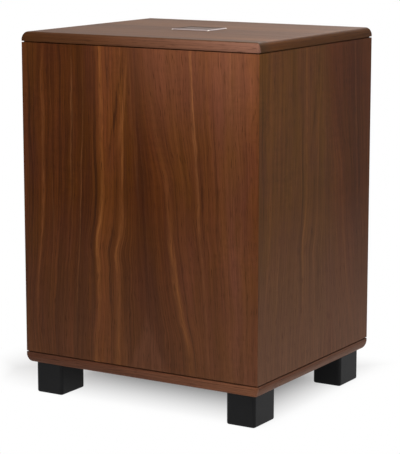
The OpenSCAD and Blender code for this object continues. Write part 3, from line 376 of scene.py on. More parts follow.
class CrownCut(Finish):
    """Walnut whose grain is straightened between its streaks. Lengths here are in millimetres."""

    def __init__(self, name, across_axis, shift=0.0, turn=1):
        super().__init__(name, WALL_LACQUER)
        x, y, z = self.axes()
        side = self.times(x if across_axis == "X" else y, MM * turn)
        self.side = self.minus(side, shift)
        self.z = self.times(z, MM)
        self.climb = self.span(self.z, WALL_FOOT, WALL_HEAD)
        rails = [-LEAF_EDGE, *(self.path(points) for _, points in STREAK_PATHS.values()), LEAF_EDGE]
        homes = [-LEAF_EDGE, *(home for home, _ in STREAK_PATHS.values()), LEAF_EDGE]
        across = homes[0]
        for left, right, home, next_home in zip(rails, rails[1:], homes, homes[1:]):
            across = self.plus(self.span(self.side, left, right, 0, next_home - home), across)
        straight = self.join(across, 0.0, self.z)
        waver = self.speckle((0.05, 1, 0.015), detail=3, vector=straight)
        self.across = self.plus(across, self.span(waver, 0.3, 0.7, -1.6, 1.6))
        self.straight = self.join(self.across, 0.0, self.z)

    def height_share(self, height):
        return (height - WALL_FOOT) / (WALL_HEAD - WALL_FOOT)

    def path(self, points):
        """How far sideways a streak lies at each height."""
        shares = [(self.height_share(h), (s + HALF_LEAF) / (2 * HALF_LEAF)) for h, s in points.items()]
        return self.span(self.curve(self.climb, shares), 0, 1, -HALF_LEAF, HALF_LEAF)

    def strength(self, points):
        """How strong a streak is at each height."""
        return self.curve(self.climb, [(self.height_share(h), s) for h, s in points.items()])

    def stripe(self, home, lean, half, soft_left, soft_right):
        """1 along a line of the straightened grain, with a softness of its own on each side."""
        across = self.across
        if lean:
            past = self.minus(self.z, LEAN_HEIGHT)
            across = self.minus(across, self.times(past, lean))
        rise = self.ease(across, home - half - soft_left, home - half)
        fall = self.ease(across, home + half, home + half + soft_right, 1.0, 0.0)
        return self.times(rise, fall)

    def grain(self, across, along, detail=2.0, seed=0.0):
        """Noise drawn out along the grain, with so many turns to a millimetre each way."""
        shift = (seed, seed, seed)
        return self.speckle((across, 1, along), detail, 0.6, shift=shift, vector=self.straight)

    def hairlines(self, across, seed, width):
        """Thin lines along the grain, where a noise passes its middle value."""
        past = self.apart(self.grain(across, 0.0007, detail=1.0, seed=seed), 0.5)
        return self.ease(past, 0.0, width, 1.0, 0.0)


print("leaf", 2 * HALF_LEAF, "mm wide with", len(STREAK_PATHS), "paths")

# %% [markdown]
# The walls are dressed with leaves that were cut one after the other from the same log, so each shows
# the same figure, a little moved or turned over. On every leaf the recipe is the same: a board tone
# across the leaf, growth rings and hairlines, the placed streaks, then fibres and pores. Its upper
# right is made paler and pinker, partly as sapwood tone and partly as painted light from the corner
# softbox.
# %% Veneered walls
BOARD_TONES = [(0.00, RUSSET), (0.08, HEART), (0.24, HEART), (0.29, UMBER), (0.33, CHESTNUT),
               (0.43, CHESTNUT), (0.48, HEART), (0.54, UMBER), (0.60, HEART), (0.70, RUSSET),
               (0.82, RUSSET), (0.90, ROSEWOOD), (1.00, RUSSET)]
SIDE_TONES = [(0.00, HAZEL), (0.48, HAZEL), (0.64, CHESTNUT), (0.76, HEART), (0.88, CHESTNUT),
              (1.00, HAZEL)]
FIBRE_TONES = (0.72, 1.245)
PORE_SHARE = 0.6
GRAIN_ROUGHNESS = (0.50, 0.40)
GRAIN_DEPTH = 0.0003
# Heights in millimetres where painted light starts: the paler head above the first, the painted floor
# bounce below the second.
PALE_FROM, FLOOR_BOUNCE_FROM = 320, 270
FLAME_HOME, FLAME_TIP, FLAME_FADE, FLAME_SLOPE = 8, 140, 30, 3.5
HAIRLINES = [(INK, 0.06, 3.0, 0.016, 0.42), (STRAW, 0.04, 11.0, 0.012, 0.10)]
STREAKS = [  # home, lean, half width, softness left and right, colour, strength by height
    (-146, 0, 0.5, 3, 2.5, TAWNY, {464: 0.1, 390: 0.55, 250: 0.8, 150: 0.6, 56: 0.3}),
    (-103, 0, 0.4, 1, 2, STRAW, {464: 0.0, 430: 0.25, 290: 0.25, 240: 0.0, 56: 0.0}),
    (-86, 0, 0.3, 1.5, 1, STRAW, {464: 0.0, 430: 0.1, 264: 0.35, 120: 0.25, 56: 0.0}),
    (-64, 0, 0.5, 3, 1, INK, {464: 0.3, 300: 0.4, 190: 0.4, 56: 0.3}),
    (-56, 0, 0.6, 3, 4, GOLD, {464: 0.3, 400: 0.4, 330: 0.3, 260: 0.5, 212: 0.8, 175: 0.4, 120: 0.35,
                               56: 0.8}),
    (-37, 0, 0.6, 3, 3, INK, {464: 0.1, 300: 0.1, 250: 0.2, 170: 0.8, 140: 0.7, 110: 0.2, 56: 0.1}),
    (-47, 0.2, 1.5, 4, 3, TAWNY, {464: 0.0, 440: 0.4, 400: 0.7, 350: 0.5, 320: 0.0, 56: 0.0}),
    (-55, 0.17, 0.6, 3, 2, INK, {464: 0.0, 430: 0.5, 390: 0.9, 340: 0.7, 310: 0.0, 56: 0.0}),
    (-25, 0, 0.6, 4, 4, GOLD, {464: 0.0, 400: 0.15, 340: 0.45, 270: 0.3, 215: 0.6, 170: 0.3, 56: 0.55}),
    (19, 0, 4, 9, 8, INK, {464: 0.0, 260: 0.0, 200: 0.25, 160: 0.4, 110: 0.25, 56: 0.15}),
    (-14, 0, 2, 5, 6, INK, {464: 0.0, 230: 0.0, 170: 0.25, 110: 0.3, 56: 0.2}),
    (52, 0, 1.0, 6, 5, GOLD, {464: 0.0, 320: 0.12, 240: 0.25, 190: 0.6, 130: 0.55, 56: 0.05}),
    (62, 0, 0.6, 3, 3, INK, {464: 0.0, 300: 0.2, 150: 0.35, 95: 0.8, 70: 0.7, 56: 0.3}),
    (86, 0, 0.8, 5, 1, INK, {464: 0.1, 300: 0.3, 230: 0.45, 120: 0.2, 56: 0.1}),
    (92, 0, 0.4, 2.5, 2, STRAW, {464: 0.3, 420: 0.45, 340: 0.35, 230: 0.3, 56: 0.15}),
    (98, 0, 0.5, 2, 2, INK, {464: 0.0, 330: 0.2, 280: 0.75, 230: 0.6, 190: 0.1, 56: 0.0}),
    (112, 0, 0.4, 2, 5, TAWNY, {464: 0.3, 400: 0.3, 330: 0.1, 56: 0.0}),
    (118, 0, 0.6, 3, 2, INK, {464: 0.0, 350: 0.2, 250: 0.4, 190: 0.1, 56: 0.0}),
]


def lacquered_grain(finish, colour, fibres, pores):
    """Puts fibres and pores over a wood colour, and sinks them a little into the lacquer."""
    shaded = finish.shade(colour, finish.span(fibres, 0.25, 0.75, *FIBRE_TONES))
    pore_mask = finish.span(pores, 0.60, 0.70, 0.0, PORE_SHARE)
    finish.set({"Base Color": finish.mix(pore_mask, shaded, INK)})
    finish.set({"Roughness": finish.span(fibres, 0.2, 0.8, *GRAIN_ROUGHNESS)})
    height = finish.minus(finish.times(fibres, 0.4), pore_mask)
    finish.bump(height, 0.12, GRAIN_DEPTH)


def crown_cut_walnut(name, across_axis, shift=0.0, turn=1, figure=1.0, pale_and_lit_head=0.18, floor_bounce_share=0.30,
                     tones=BOARD_TONES):
    leaf = CrownCut(name, across_axis, shift, turn)
    share = leaf.span(leaf.across, -HALF_LEAF, HALF_LEAF)
    wood = leaf.ramp(share, tones)
    lively = leaf.span(share, 0.40, 0.62, figure, 0.45 * figure)
    growth = leaf.plus(leaf.grain(0.05, 0.0012, 2.0), leaf.grain(0.17, 0.0022, 3.0, seed=7.0))
    growth = leaf.times(leaf.span(growth, 0.7, 1.3, -0.34, 0.34), lively)
    wood = leaf.shade(wood, leaf.plus(growth, 1.0))
    wood = leaf.shade(wood, leaf.span(leaf.grain(0.022, 0.012, 3.0, seed=2.0), 0.3, 0.7, 0.90, 1.10))
    wood = leaf.shade(wood, leaf.span(leaf.grain(0.30, 0.004, 2.0, seed=19.0), 0.3, 0.7, 0.90, 1.10))
    curl = leaf.span(leaf.grain(0.06, 0.17, 3.0, seed=17.0), 0.3, 0.7, -0.09, 0.09)
    curl = leaf.times(curl, leaf.span(leaf.grain(0.011, 0.009, 1.0, seed=23.0), 0.50, 0.62))
    wood = leaf.shade(wood, leaf.plus(curl, 1.0))
    for colour, across, seed, width, strength in HAIRLINES:
        lines = leaf.times(leaf.hairlines(across, seed, width), strength)
        wood = leaf.mix(leaf.times(lines, lively), wood, colour)
    drift = leaf.span(leaf.grain(0.03, 0.008, 2.0, seed=13.0), 0.35, 0.65)
    wood = leaf.mix(1.0, wood, leaf.mix(drift, OLIVE_CAST, PLUM_CAST), blend="MULTIPLY")
    # Painted light, in part: the upper right of the leaf turns paler and pinker, partly as sapwood and
    # partly in place of the corner softbox's light.
    head = leaf.times(leaf.ease(leaf.z, PALE_FROM, WALL_HEAD), leaf.span(share, 0.2, 0.62))
    wood = leaf.mix(leaf.times(head, pale_and_lit_head * figure), wood, SAPWOOD_AND_LAMPLIGHT)
    broken = leaf.span(leaf.grain(0.35, 0.030, 3.0, seed=5.0), 0.38, 0.62, 0.25 * figure, figure)
    for home, lean, half, soft_left, soft_right, colour, strengths in STREAKS:
        stripe = leaf.stripe(home, lean, half, soft_left, soft_right)
        wood = leaf.mix(leaf.times(leaf.times(stripe, leaf.strength(strengths)), broken), wood, colour)
    # Painted floor bounce: the foot of the leaf greys toward an ashen tone, more on its right half, in
    # place of light thrown up by the white floor.
    foot = leaf.span(leaf.z, FLOOR_BOUNCE_FROM, WALL_FOOT, 0.0, floor_bounce_share)
    wood = leaf.mix(leaf.times(foot, leaf.span(share, 0.4, 1.0, 1.0, 1.25)), wood, ASHEN)
    tip = leaf.plus(leaf.z, leaf.times(leaf.apart(leaf.across, FLAME_HOME), FLAME_SLOPE))
    wood = leaf.mix(leaf.ease(tip, FLAME_TIP, FLAME_TIP - FLAME_FADE, 0.0, 0.6 * figure), wood, FLAME)
    lacquered_grain(leaf, wood, leaf.grain(0.62, 0.008, 4.0), leaf.grain(1.3, 0.05, 1.0))
    return leaf


dress(crown_cut_walnut("walnut_front", "X"), "front_panel")
dress(crown_cut_walnut("walnut_right", "Y", shift=15, figure=0.55, pale_and_lit_head=0.0, floor_bounce_share=0.80,
                       tones=SIDE_TONES), "right_side_panel")
dress(crown_cut_walnut("walnut_left", "Y", shift=-9, turn=-1, figure=0.7), "left_side_panel")
dress(crown_cut_walnut("walnut_back", "X", shift=12, turn=-1, figure=0.85), "back_panel")
print("veneered walls:", [n for n in nodes if n.endswith("panel")])

# %% [markdown]
# The two end panels are cut the other way, with the grain running from side to side. Their veneer is
# plain, so here stretched noise is enough: broad bands of growth, finer rings within them, then the
# same fibres and pores as on the walls. A strip glued to each end hides the end grain, so there the
# noise is stretched along Y instead. Along each front edge a pale strip, brighter toward the right, is
# a painted highlight, and on the top a dark band just behind that edge is painted shade.
# %% Straight-grained end panels
TOP_TONES = (tone(69, 38, 12), tone(76, 43, 13), HAZEL, tone(100, 64, 33))
BOTTOM_TONES = (RUSSET, ROSEWOOD, ASHEN, FLAME)
# Tones of the painted highlight along the front edges, from left to right.
TOP_EDGE_HIGHLIGHT = [(0.0, tone(60, 34, 16)), (0.35, tone(74, 44, 28)), (0.7, tone(94, 62, 48)),
            (1.0, tone(108, 74, 61))]
BOTTOM_EDGE_HIGHLIGHT = [(0.0, tone(74, 42, 31)), (0.4, tone(92, 54, 38)), (1.0, tone(124, 78, 54))]
PAINTED_RIM_SHADE = tone(36, 28, 16)
PAINTED_SHADE_FADE = (0.040, 0.006)
HIGHLIGHT_FADE = (0.005, 0.003)
STRIP_T, STRIP_JOINT = 0.0045, 0.0002
END_STRIP = front_high.x - STRIP_T


def straight_walnut(name, lacquer, seed, tones, highlight_tones, edge_highlight, painted_shade_share):
    finish = Finish(name, lacquer)
    shift = (seed, seed, seed)
    x, y, z = finish.axes()
    strip = finish.span(finish.math("ABSOLUTE", x), END_STRIP, END_STRIP + STRIP_JOINT)
    finish.place = finish.mix(strip, finish.place, finish.join(y, x, z))
    bands = finish.speckle((0.7, 16, 16), shift=shift)
    rings = finish.speckle((1.3, 120, 120), detail=3, roughness=0.6, shift=shift)
    growth = finish.weigh(bands, 0.5, rings, 0.5)
    wood = finish.ramp(growth, list(zip((0.36, 0.46, 0.54, 0.68), tones)))
    along = finish.span(x, front_low.x, front_high.x)
    inward = finish.minus(y, front_low.y)
    # Painted shade: a dark band on the top just behind its front edge, deeper toward the right.
    rim = finish.ease(inward, *PAINTED_SHADE_FADE, 0.0, painted_shade_share)
    wood = finish.mix(finish.times(rim, along), wood, PAINTED_RIM_SHADE)
    # Painted highlight: a pale strip on the rounded front edge, brighter toward the right, where the
    # lamps would catch it.
    edge = finish.ease(inward, *HIGHLIGHT_FADE, 0.0, edge_highlight)
    wood = finish.mix(edge, wood, finish.ramp(along, highlight_tones))
    fibres = finish.speckle((7, 620, 620), detail=3, roughness=0.6, shift=shift)
    pores = finish.speckle((55, 1500, 1500), detail=1, shift=shift)
    lacquered_grain(finish, wood, fibres, pores)
    return finish


dress(straight_walnut("walnut_top", TOP_LACQUER, 5.5, TOP_TONES, TOP_EDGE_HIGHLIGHT, 0.8, 0.55), "top_panel")
dress(straight_walnut("walnut_bottom", LACQUER, 9.5, BOTTOM_TONES, BOTTOM_EDGE_HIGHLIGHT, 0.65, 0.0),
      "bottom_panel")

# %% [markdown]
# ## Plain finishes
#
# Most of the other parts are moulded, painted, plated or pressed. Up close none of them is one flat
# colour: a mould leaves a fine grit, paint an orange peel, handling a faint cloudiness. One recipe
# covers them. It mixes two near tones by a cloudy noise, and takes roughness and bump from a finer
# noise. A finish that needs more starts from this recipe and adds to it.
# %% One recipe for moulded, painted and plated parts
GRIT_DEPTH = 0.0002


def speckled(name, dark, light, *pieces, grit=1800, cloud=45, rough=(0.4, 0.55), dent=0.12, gloss=0.5,
             **sockets):
    """Dresses pieces in two near tones, with the grit given in turns to a metre along each axis."""
    finish = Finish(name, {"Specular IOR Level": gloss})
    finish.set({key.replace("_", " "): value for key, value in sockets.items()})
    finish.grit = finish.speckle(grit, detail=2)
    finish.cloud = finish.speckle(cloud, detail=3)
    share = finish.weigh(finish.cloud, 0.6, finish.grit, 0.4)
    finish.colour = finish.ramp(share, [(0.38, tone(*dark)), (0.62, tone(*light))])
    finish.set({"Base Color": finish.colour, "Roughness": finish.span(finish.grit, 0.3, 0.7, *rough)})
    finish.bump(finish.grit, dent, GRIT_DEPTH)
    dress(finish, *pieces)
    return finish


FEET = ["foot_front_left", "foot_front_right", "foot_back_left", "foot_back_right"]
speckled("black_foot", (9, 9, 10), (16, 16, 17), *FEET, grit=2600, rough=(0.42, 0.58), gloss=0.14)
speckled(
    "zinc_screw", (150, 148, 140), (186, 184, 176), "foot_screws", cloud=300, rough=(0.28, 0.45),
    Metallic=1.0)
print("feet:", len(FEET))

# %% [markdown]
# ## Badge plate
#
# A bare plate with a bevelled rim is let into the middle of the top. Its face is a satin brown bronze
# that nearly sinks into the wood. Its bevel is brighter, and its four corners are lightened almost to
# white as a painted glint. All are on one solid, so the material measures how far a point is from the
# outer edges.
# %% Bronze badge plate with a bright bevel
BEVEL_WIDTH = 0.0013
CORNER_GLINT = 0.003


def size_in_mm(name):
    low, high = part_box(name)
    return [round(c * MM, 1) for c in high - low]


def insets_from_edges(finish, name):
    """How far a point lies inside a node's outline, from its sides and from its ends."""
    centre, half = extent(name)
    x, y, _ = finish.axes()
    from_side = finish.minus(half.x, finish.apart(x, centre.x))
    from_end = finish.minus(half.y, finish.apart(y, centre.y))
    return from_side, from_end


bronze = Finish("badge_metal", {"Specular IOR Level": 0.05})
brush = bronze.speckle((60, 5000, 5000), detail=2)
from_side, from_end = insets_from_edges(bronze, "badge_plate")
face = bronze.span(bronze.math("MINIMUM", from_side, from_end), BEVEL_WIDTH * 0.8, BEVEL_WIDTH)
# Painted glint: the bevel turns near white at the plate's four corners.
corner = bronze.span(bronze.plus(from_side, from_end), CORNER_GLINT, CORNER_GLINT * 0.6)
satin = bronze.ramp(brush, [(0.3, tone(66, 50, 42)), (0.7, tone(92, 74, 64))])
bevel = bronze.mix(corner, tone(142, 130, 128), tone(188, 180, 172))
bronze.set({"Base Color": bronze.mix(face, bevel, satin)})
bronze.set({"Metallic": bronze.span(face, 0, 1, 1.0, 0.0)})
bronze.set({"Roughness": bronze.span(face, 0, 1, 0.48, 0.46)})
bronze.bump(brush, 0.05, 0.0001)
dress(bronze, "badge_plate")
print("badge plate:", size_in_mm("badge_plate"), "mm")

# %% [markdown]
# ## Inside the box
#
# Behind the veneer the braces are bare fibreboard, brown and speckled with wood fibres. A pad of
# polyester wadding lies on the window brace to damp the air in the box. It is soft, so the plain
# solid gives way to a lofted pad: a box is divided finely, its edges are drawn in, and each point
# of its skin is pushed by two sizes of noise, as tufts of fibre do. It stays flat where it rests.
# %% Fibreboard and wadding
speckled(
    "fibreboard", (120, 88, 58), (164, 128, 90), "sub_baffle", "window_brace", grit=1400, cloud=220,
    rough=(0.75, 0.9))

PAD_CUTS = 47
PAD_TUCK, CROWN_DROP, CROWN_POWER = 0.006, 0.35, 8
PAD_LUMP, LUMP_TURNS = 0.006, 30
PAD_TUFT, TUFT_TURNS = 0.0015, 150
NEAR_EDGE = 0.99


def new_piece(name, bm, finish):
    """A new object with a slot for its finish."""
    piece = new_object(name, bm, finish)
    return piece


def smooth(piece, angle=40):
    """Shades a piece smoothly, but keeps the edges that are sharper than an angle."""
    for face in piece.data.polygons:
        face.use_smooth = True
    piece.data.set_sharp_from_angle(angle=math.radians(angle))


def wadding_pad():
    centre, half = extent("wadding")
    bm = bmesh.new()
    bmesh.ops.create_cube(bm, size=2.0)
    bmesh.ops.subdivide_edges(bm, edges=bm.edges[:], cuts=PAD_CUTS, use_grid_fill=True)
    for vert in bm.verts:
        share = vert.co.copy()
        pull = max(abs(share.x), abs(share.y)) ** CROWN_POWER
        crown = 1.0 - CROWN_DROP * pull if share.z > 0 else 1.0
        place = Vector((share.x * half.x, share.y * half.y, share.z * half.z * crown))
        lump = noise.noise(place * LUMP_TURNS) * PAD_LUMP + noise.noise(place * TUFT_TURNS) * PAD_TUFT
        rim = Vector((*(s if abs(s) > NEAR_EDGE else 0 for s in share.xy), 0))
        place -= rim * (PAD_TUCK * (1 + share.z * share.z) - lump)
        if share.z > NEAR_EDGE:
            place.z += lump - PAD_LUMP
        vert.co = centre + place
        vert.co.z = max(vert.co.z, centre.z - half.z)
    return bm


fluff = speckled(
    "fibre_wadding", (214, 214, 210), (240, 240, 236), "wadding", grit=900, cloud=120, rough=(0.9, 1.0),
    dent=0.6, gloss=0.1, Sheen_Weight=0.4, Sheen_Roughness=0.6)
pad = new_piece("wadding_pad", wadding_pad(), fluff)
smooth(pad, 180)
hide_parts("wadding")
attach(pad, "cabinet")
print("wadding pad:", len(pad.data.polygons), "faces")

# %% [markdown]
# ## The driver's surround
#
# The surround is a half-roll of rubber that lets the cone move. In the frame it is a rigid ring, but on
# the real driver its inner lip moves with the cone while its outer lip stays on the basket. It is made
# again here by spinning a profile of two lips and a half circle.
# %% Spun half-roll surround
AXIS, _ = extent("cone")
ROLL_START_R, ROLL_END_R = 0.091, 0.109
LIP_IN_R, LIP_OUT_R = 0.083, 0.119
LIP_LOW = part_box("trim_ring")[1].z
RUBBER_T = 0.0012
TURNS, ROLL_STEPS = 128, 24


def spun(profile, thickness):
    """Spins a line of (radius, height) points round the driver's axis, and gives it a wall."""
    bm = bmesh.new()
    verts = [bm.verts.new((AXIS.x + r, AXIS.y, z)) for r, z in profile]
    edges = [bm.edges.new(pair) for pair in zip(verts, verts[1:])]
    bmesh.ops.spin(bm, geom=verts + edges, cent=(AXIS.x, AXIS.y, 0), axis=(0, 0, 1),
                   angle=2 * math.pi, steps=TURNS, use_merge=True)
    bmesh.ops.remove_doubles(bm, verts=bm.verts[:], dist=1e-6)
    bmesh.ops.recalc_face_normals(bm, faces=bm.faces[:])
    bmesh.ops.solidify(bm, geom=bm.faces[:], thickness=thickness)
    return bm


def follow_cone(piece):
    """Bakes the piece's place into its mesh."""
    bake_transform(piece)


roll_mid = (ROLL_START_R + ROLL_END_R) / 2
roll_r = (ROLL_END_R - ROLL_START_R) / 2 + RUBBER_T / 2
roll = [(roll_mid - roll_r * math.cos(t), LIP_LOW - roll_r * math.sin(t))
        for t in (math.pi * i / ROLL_STEPS for i in range(ROLL_STEPS + 1))]
rubber = speckled(
    "surround_rubber", (20, 20, 21), (32, 32, 33), "trim_ring", "surround", grit=1200,
    rough=(0.5, 0.68), dent=0.2, gloss=0.35)
lipped = spun([(LIP_IN_R, LIP_LOW), *roll, (LIP_OUT_R, LIP_LOW)], RUBBER_T)
half_roll = new_piece("surround_roll", lipped, rubber)
smooth(half_roll)
follow_cone(half_roll)
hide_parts("surround")
print("surround:", len(half_roll.data.vertices), "points")

# %% [markdown]
# ## The spider
#
# The spider is a disc of stiffened cloth, pressed into rings of waves. It centres the coil and bends
# as the cone moves. It is spun like the surround, from a wavy profile, and gets a woven finish.
# %% Spun spider of corrugated cloth
SPIDER_IN_R, SPIDER_OUT_R, SPIDER_RIM_R = 0.02555, 0.058, 0.065
SPIDER_WAVES, WAVE_STEPS, SPIDER_T, SPIDER_ROOM = 5, 80, 0.0006, 0.0004
THREADS = 7500
spider_centre, spider_half = extent("spider")
SPIDER_Z = spider_centre.z
SPIDER_AMP = spider_half.z - SPIDER_ROOM


def spider_height(share):
    return SPIDER_Z + SPIDER_AMP * math.sin(2 * math.pi * SPIDER_WAVES * share)


wave_shares = [i / WAVE_STEPS for i in range(WAVE_STEPS + 1)]
waves = [(SPIDER_IN_R + (SPIDER_OUT_R - SPIDER_IN_R) * t, spider_height(t)) for t in wave_shares]
woven = speckled(
    "spider_cloth", (176, 128, 52), (204, 156, 76), "spider", grit=600, rough=(0.75, 0.9), gloss=0.15)
x, y, _ = woven.axes()
warp = woven.math("SINE", woven.times(x, THREADS))
weft = woven.math("SINE", woven.times(y, THREADS))
weave = woven.times(warp, weft)
woven.tint(woven.span(weave, -0.2, 1.0, 0.0, 0.55), 120, 82, 30)
woven.bump(weave, 0.4, 0.0002)
wavy = spun([*waves, (SPIDER_RIM_R, SPIDER_Z)], SPIDER_T)
cloth_disc = new_piece("spider_disc", wavy, woven)
smooth(cloth_disc)
follow_cone(cloth_disc)
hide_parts("spider")
print("spider:", len(cloth_disc.data.vertices), "points")

# %% [markdown]
# ## Tinsel leads
#
# Two braided copper leads carry the current from the fixed terminals to the moving cone. Each is three
# strands twisted round a slack path. A curve with a round bevel is the quickest way to a strand, and it
# is made a mesh.
# %% Twisted tinsel leads
TERMINAL_ANGLE = math.radians(112.5)
TINSEL_SPREAD = 0.0045
STRAND_R, STRAND_ORBIT, STRAND_TURNS = 0.00036, 0.0004, 14
LEAD_STEPS, LEAD_AHEAD, CONE_STAND = 96, 0.01, 0.0006
terminal, _ = extent("terminal_block")
terminal_low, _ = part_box("terminal_block")
tinsel_low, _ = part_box("tinsel_leads")
outward = Vector((math.cos(TERMINAL_ANGLE), math.sin(TERMINAL_ANGLE), 0))
sideways = Vector((-outward.y, outward.x, 0))
start_r = (terminal - AXIS).dot(outward)
END_R, BOW = 0.050, 0.004
drop = terminal_low.z - tinsel_low.z
route = [(start_r, terminal_low.z), (start_r, terminal_low.z - drop / 3),
         ((start_r + END_R) / 2 + BOW, tinsel_low.z + drop / 4), (END_R + BOW, tinsel_low.z + BOW),
         (END_R, tinsel_low.z + CONE_STAND)]


def slack_point(share):
    """A point on the smooth line that the route's points pull, from 0 to 1."""
    points = [Vector((r, z)) for r, z in route]
    while len(points) > 1:
        points = [a.lerp(b, share) for a, b in zip(points, points[1:])]
    return points[0]


def mesh_of(curve):
    """Turns a curve into a mesh, and takes the curve away."""
    holder = bpy.data.objects.new(curve.name, curve)
    scene.collection.objects.link(holder)
    shown = holder.evaluated_get(bpy.context.evaluated_depsgraph_get())
    mesh = bpy.data.meshes.new_from_object(shown)
    bpy.data.objects.remove(holder)
    bpy.data.curves.remove(curve)
    return mesh


def strand(path):
    """A round strand along a path, as a mesh."""
    curve = bpy.data.curves.new("ply", "CURVE")
    curve.dimensions = "3D"
    curve.bevel_depth = STRAND_R
    curve.bevel_resolution = 2
    curve.use_fill_caps = True
    line = curve.splines.new("POLY")
    line.points.add(len(path) - 1)
    for point, place in zip(line.points, path):
        point.co = (*place, 1.0)
    return mesh_of(curve)


braid_bm = bmesh.new()
for lead in (-1, 1):
    for ply in range(3):
        path = []
        for i in range(LEAD_STEPS + 1):
            share = i / LEAD_STEPS
            radius, height = slack_point(share)
            ahead = slack_point(min(share + LEAD_AHEAD, 1)) - slack_point(max(share - LEAD_AHEAD, 0))
            across = outward * ahead.y - Vector((0, 0, ahead.x))
            turn = 2 * math.pi * (STRAND_TURNS * share + ply / 3)
            middle = Vector((AXIS.x, AXIS.y, height)) + outward * radius
            middle += sideways * (lead * TINSEL_SPREAD + STRAND_ORBIT * math.cos(turn))
            path.append(middle + across.normalized() * STRAND_ORBIT * math.sin(turn))
        ply_mesh = strand(path)
        braid_bm.from_mesh(ply_mesh)
        bpy.data.meshes.remove(ply_mesh)
copper = speckled(
    "braided_copper", (168, 92, 52), (214, 134, 84), "tinsel_leads", grit=4000, cloud=700,
    rough=(0.25, 0.45), Metallic=1.0)
tinsel = new_piece("tinsel_braid", braid_bm, copper)
smooth(tinsel)
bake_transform(tinsel)
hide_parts("tinsel_leads")
print("tinsel leads:", len(tinsel.data.polygons), "faces")

# %% [markdown]
# ## The rest of the driver
#
# The cone is pressed paper pulp: black, matt and hairy with short fibres, with faint pressed rings.
# The basket is painted, the motor's plates are plated steel and the magnet is a dull ferrite ring.
# The coil is wound from fine copper wire, so its bump is a wave along the axis.
# %% Cone, basket, motor and coil
PRESSED_RINGS = 160
COIL_TURNS = 1800


def driver_radius(finish):
    x, y, _ = finish.axes()
    flat = finish.join(finish.minus(x, AXIS.x), finish.minus(y, AXIS.y), 0.0)
    return finish.node("VectorMath", {0: flat}, output="Value", operation="LENGTH")


def ringed(finish, value, turns, depth, strength):
    """Presses or winds rings into a finish, so many turns to a metre of a value."""
    wave = finish.math("SINE", finish.times(value, 2 * math.pi * turns))
    finish.bump(finish.weigh(wave, 0.5, finish.grit, 0.4), strength, depth)
    return wave


pulp = speckled(
    "cone_fibre", (18, 18, 19), (38, 37, 36), "cone", grit=1500, cloud=260, rough=(0.72, 0.9),
    gloss=0.2)
ringed(pulp, driver_radius(pulp), PRESSED_RINGS, 0.0004, 0.25)
speckled("cap_fibre", (14, 14, 15), (26, 26, 27), "dust_cap", grit=2200, rough=(0.45, 0.6), dent=0.2)
speckled(
    "basket_paint", (24, 24, 26), (36, 36, 38), "driver_frame", grit=900, rough=(0.38, 0.52), dent=0.25)
speckled(
    "gasket_foam", (26, 26, 27), (44, 44, 45), "driver_gasket", "amp_gasket", grit=2400,
    rough=(0.85, 0.95), dent=0.7, gloss=0.1)
speckled(
    "black_screw", (30, 30, 32), (52, 52, 54), "driver_screws", "amp_screws", grit=3000, cloud=400,
    rough=(0.3, 0.48), Metallic=0.8)
speckled(
    "motor_steel", (138, 142, 148), (176, 180, 184), "motor_top_plate", "pole_yoke", grit=2500,
    cloud=160, rough=(0.28, 0.45), Metallic=1.0)
speckled(
    "ferrite", (40, 41, 43), (62, 63, 66), "magnet", grit=1300, cloud=90, rough=(0.6, 0.8), dent=0.3)
speckled("terminal_plastic", (22, 22, 24), (34, 34, 36), "terminal_block")
speckled("former_film", (150, 84, 22), (186, 112, 40), "coil_former", grit=900, rough=(0.2, 0.32))
wire = speckled(
    "coil_copper", (160, 84, 44), (206, 122, 72), "voice_coil", grit=3000, rough=(0.22, 0.36),
    Metallic=1.0)
_, _, up = wire.axes()
wound = ringed(wire, up, COIL_TURNS, 0.0002, 0.6)
wire.tint(wire.span(wound, -1, 0.2, 0.6, 0.0), 84, 36, 16)
print("driver dressed")

# %% [markdown]
# ## The amplifier's plate
#
# The plate on the back is sheet steel under black powder paint, which dries to a fine orange peel.
# Bolted to it is an extruded heat sink, drawn through a die, so its fins carry lines along their
# length. The housing behind it is galvanised, with the spangle that zinc freezes into.
# %% Plate, heat sink and housing
SPANGLES = 110.0

speckled(
    "plate_paint", (20, 20, 21), (29, 29, 30), "amp_plate", grit=1100, cloud=30, rough=(0.42, 0.58),
    dent=0.3, gloss=0.35)
speckled(
    "sink_metal", (16, 16, 17), (27, 27, 28), "heat_sink", grit=(5000, 5000, 40), cloud=60,
    rough=(0.32, 0.5), dent=0.25, Metallic=0.35)
sheet = speckled(
    "housing_metal", (146, 150, 152), (176, 180, 182), "amp_housing", rough=(0.35, 0.5), Metallic=1.0)
cells = sheet.node("TexVoronoi", {"Vector": sheet.place, "Scale": SPANGLES}, output="Color")
spangle = sheet.mix(0.3, sheet.colour, cells, blend="SOFT_LIGHT")
sheet.set({"Base Color": sheet.mix(0.5, sheet.colour, spangle)})
print("plate:", size_in_mm("amp_plate"), "mm")

# %% [markdown]
# ## Controls
#
# The knobs are black plastic with a fluted grip. A white line is let into the face of each, in the
# groove that the solid has for it, so the setting can be read. The line is its own piece and turns
# with its knob. The levers, nuts and pins are plated and bright.
# %% Knobs, pointers and plated parts
POINTER_WIDTH, POINTER_IN, POINTER_OUT = 0.00125, 0.0031, 0.0098
POINTER_FLOOR, POINTER_FACE, POINTER_BEVEL = 0.00058, 0.00012, 0.12
KNOBS = ["level_knob", "crossover_knob", "lfe_knob"]

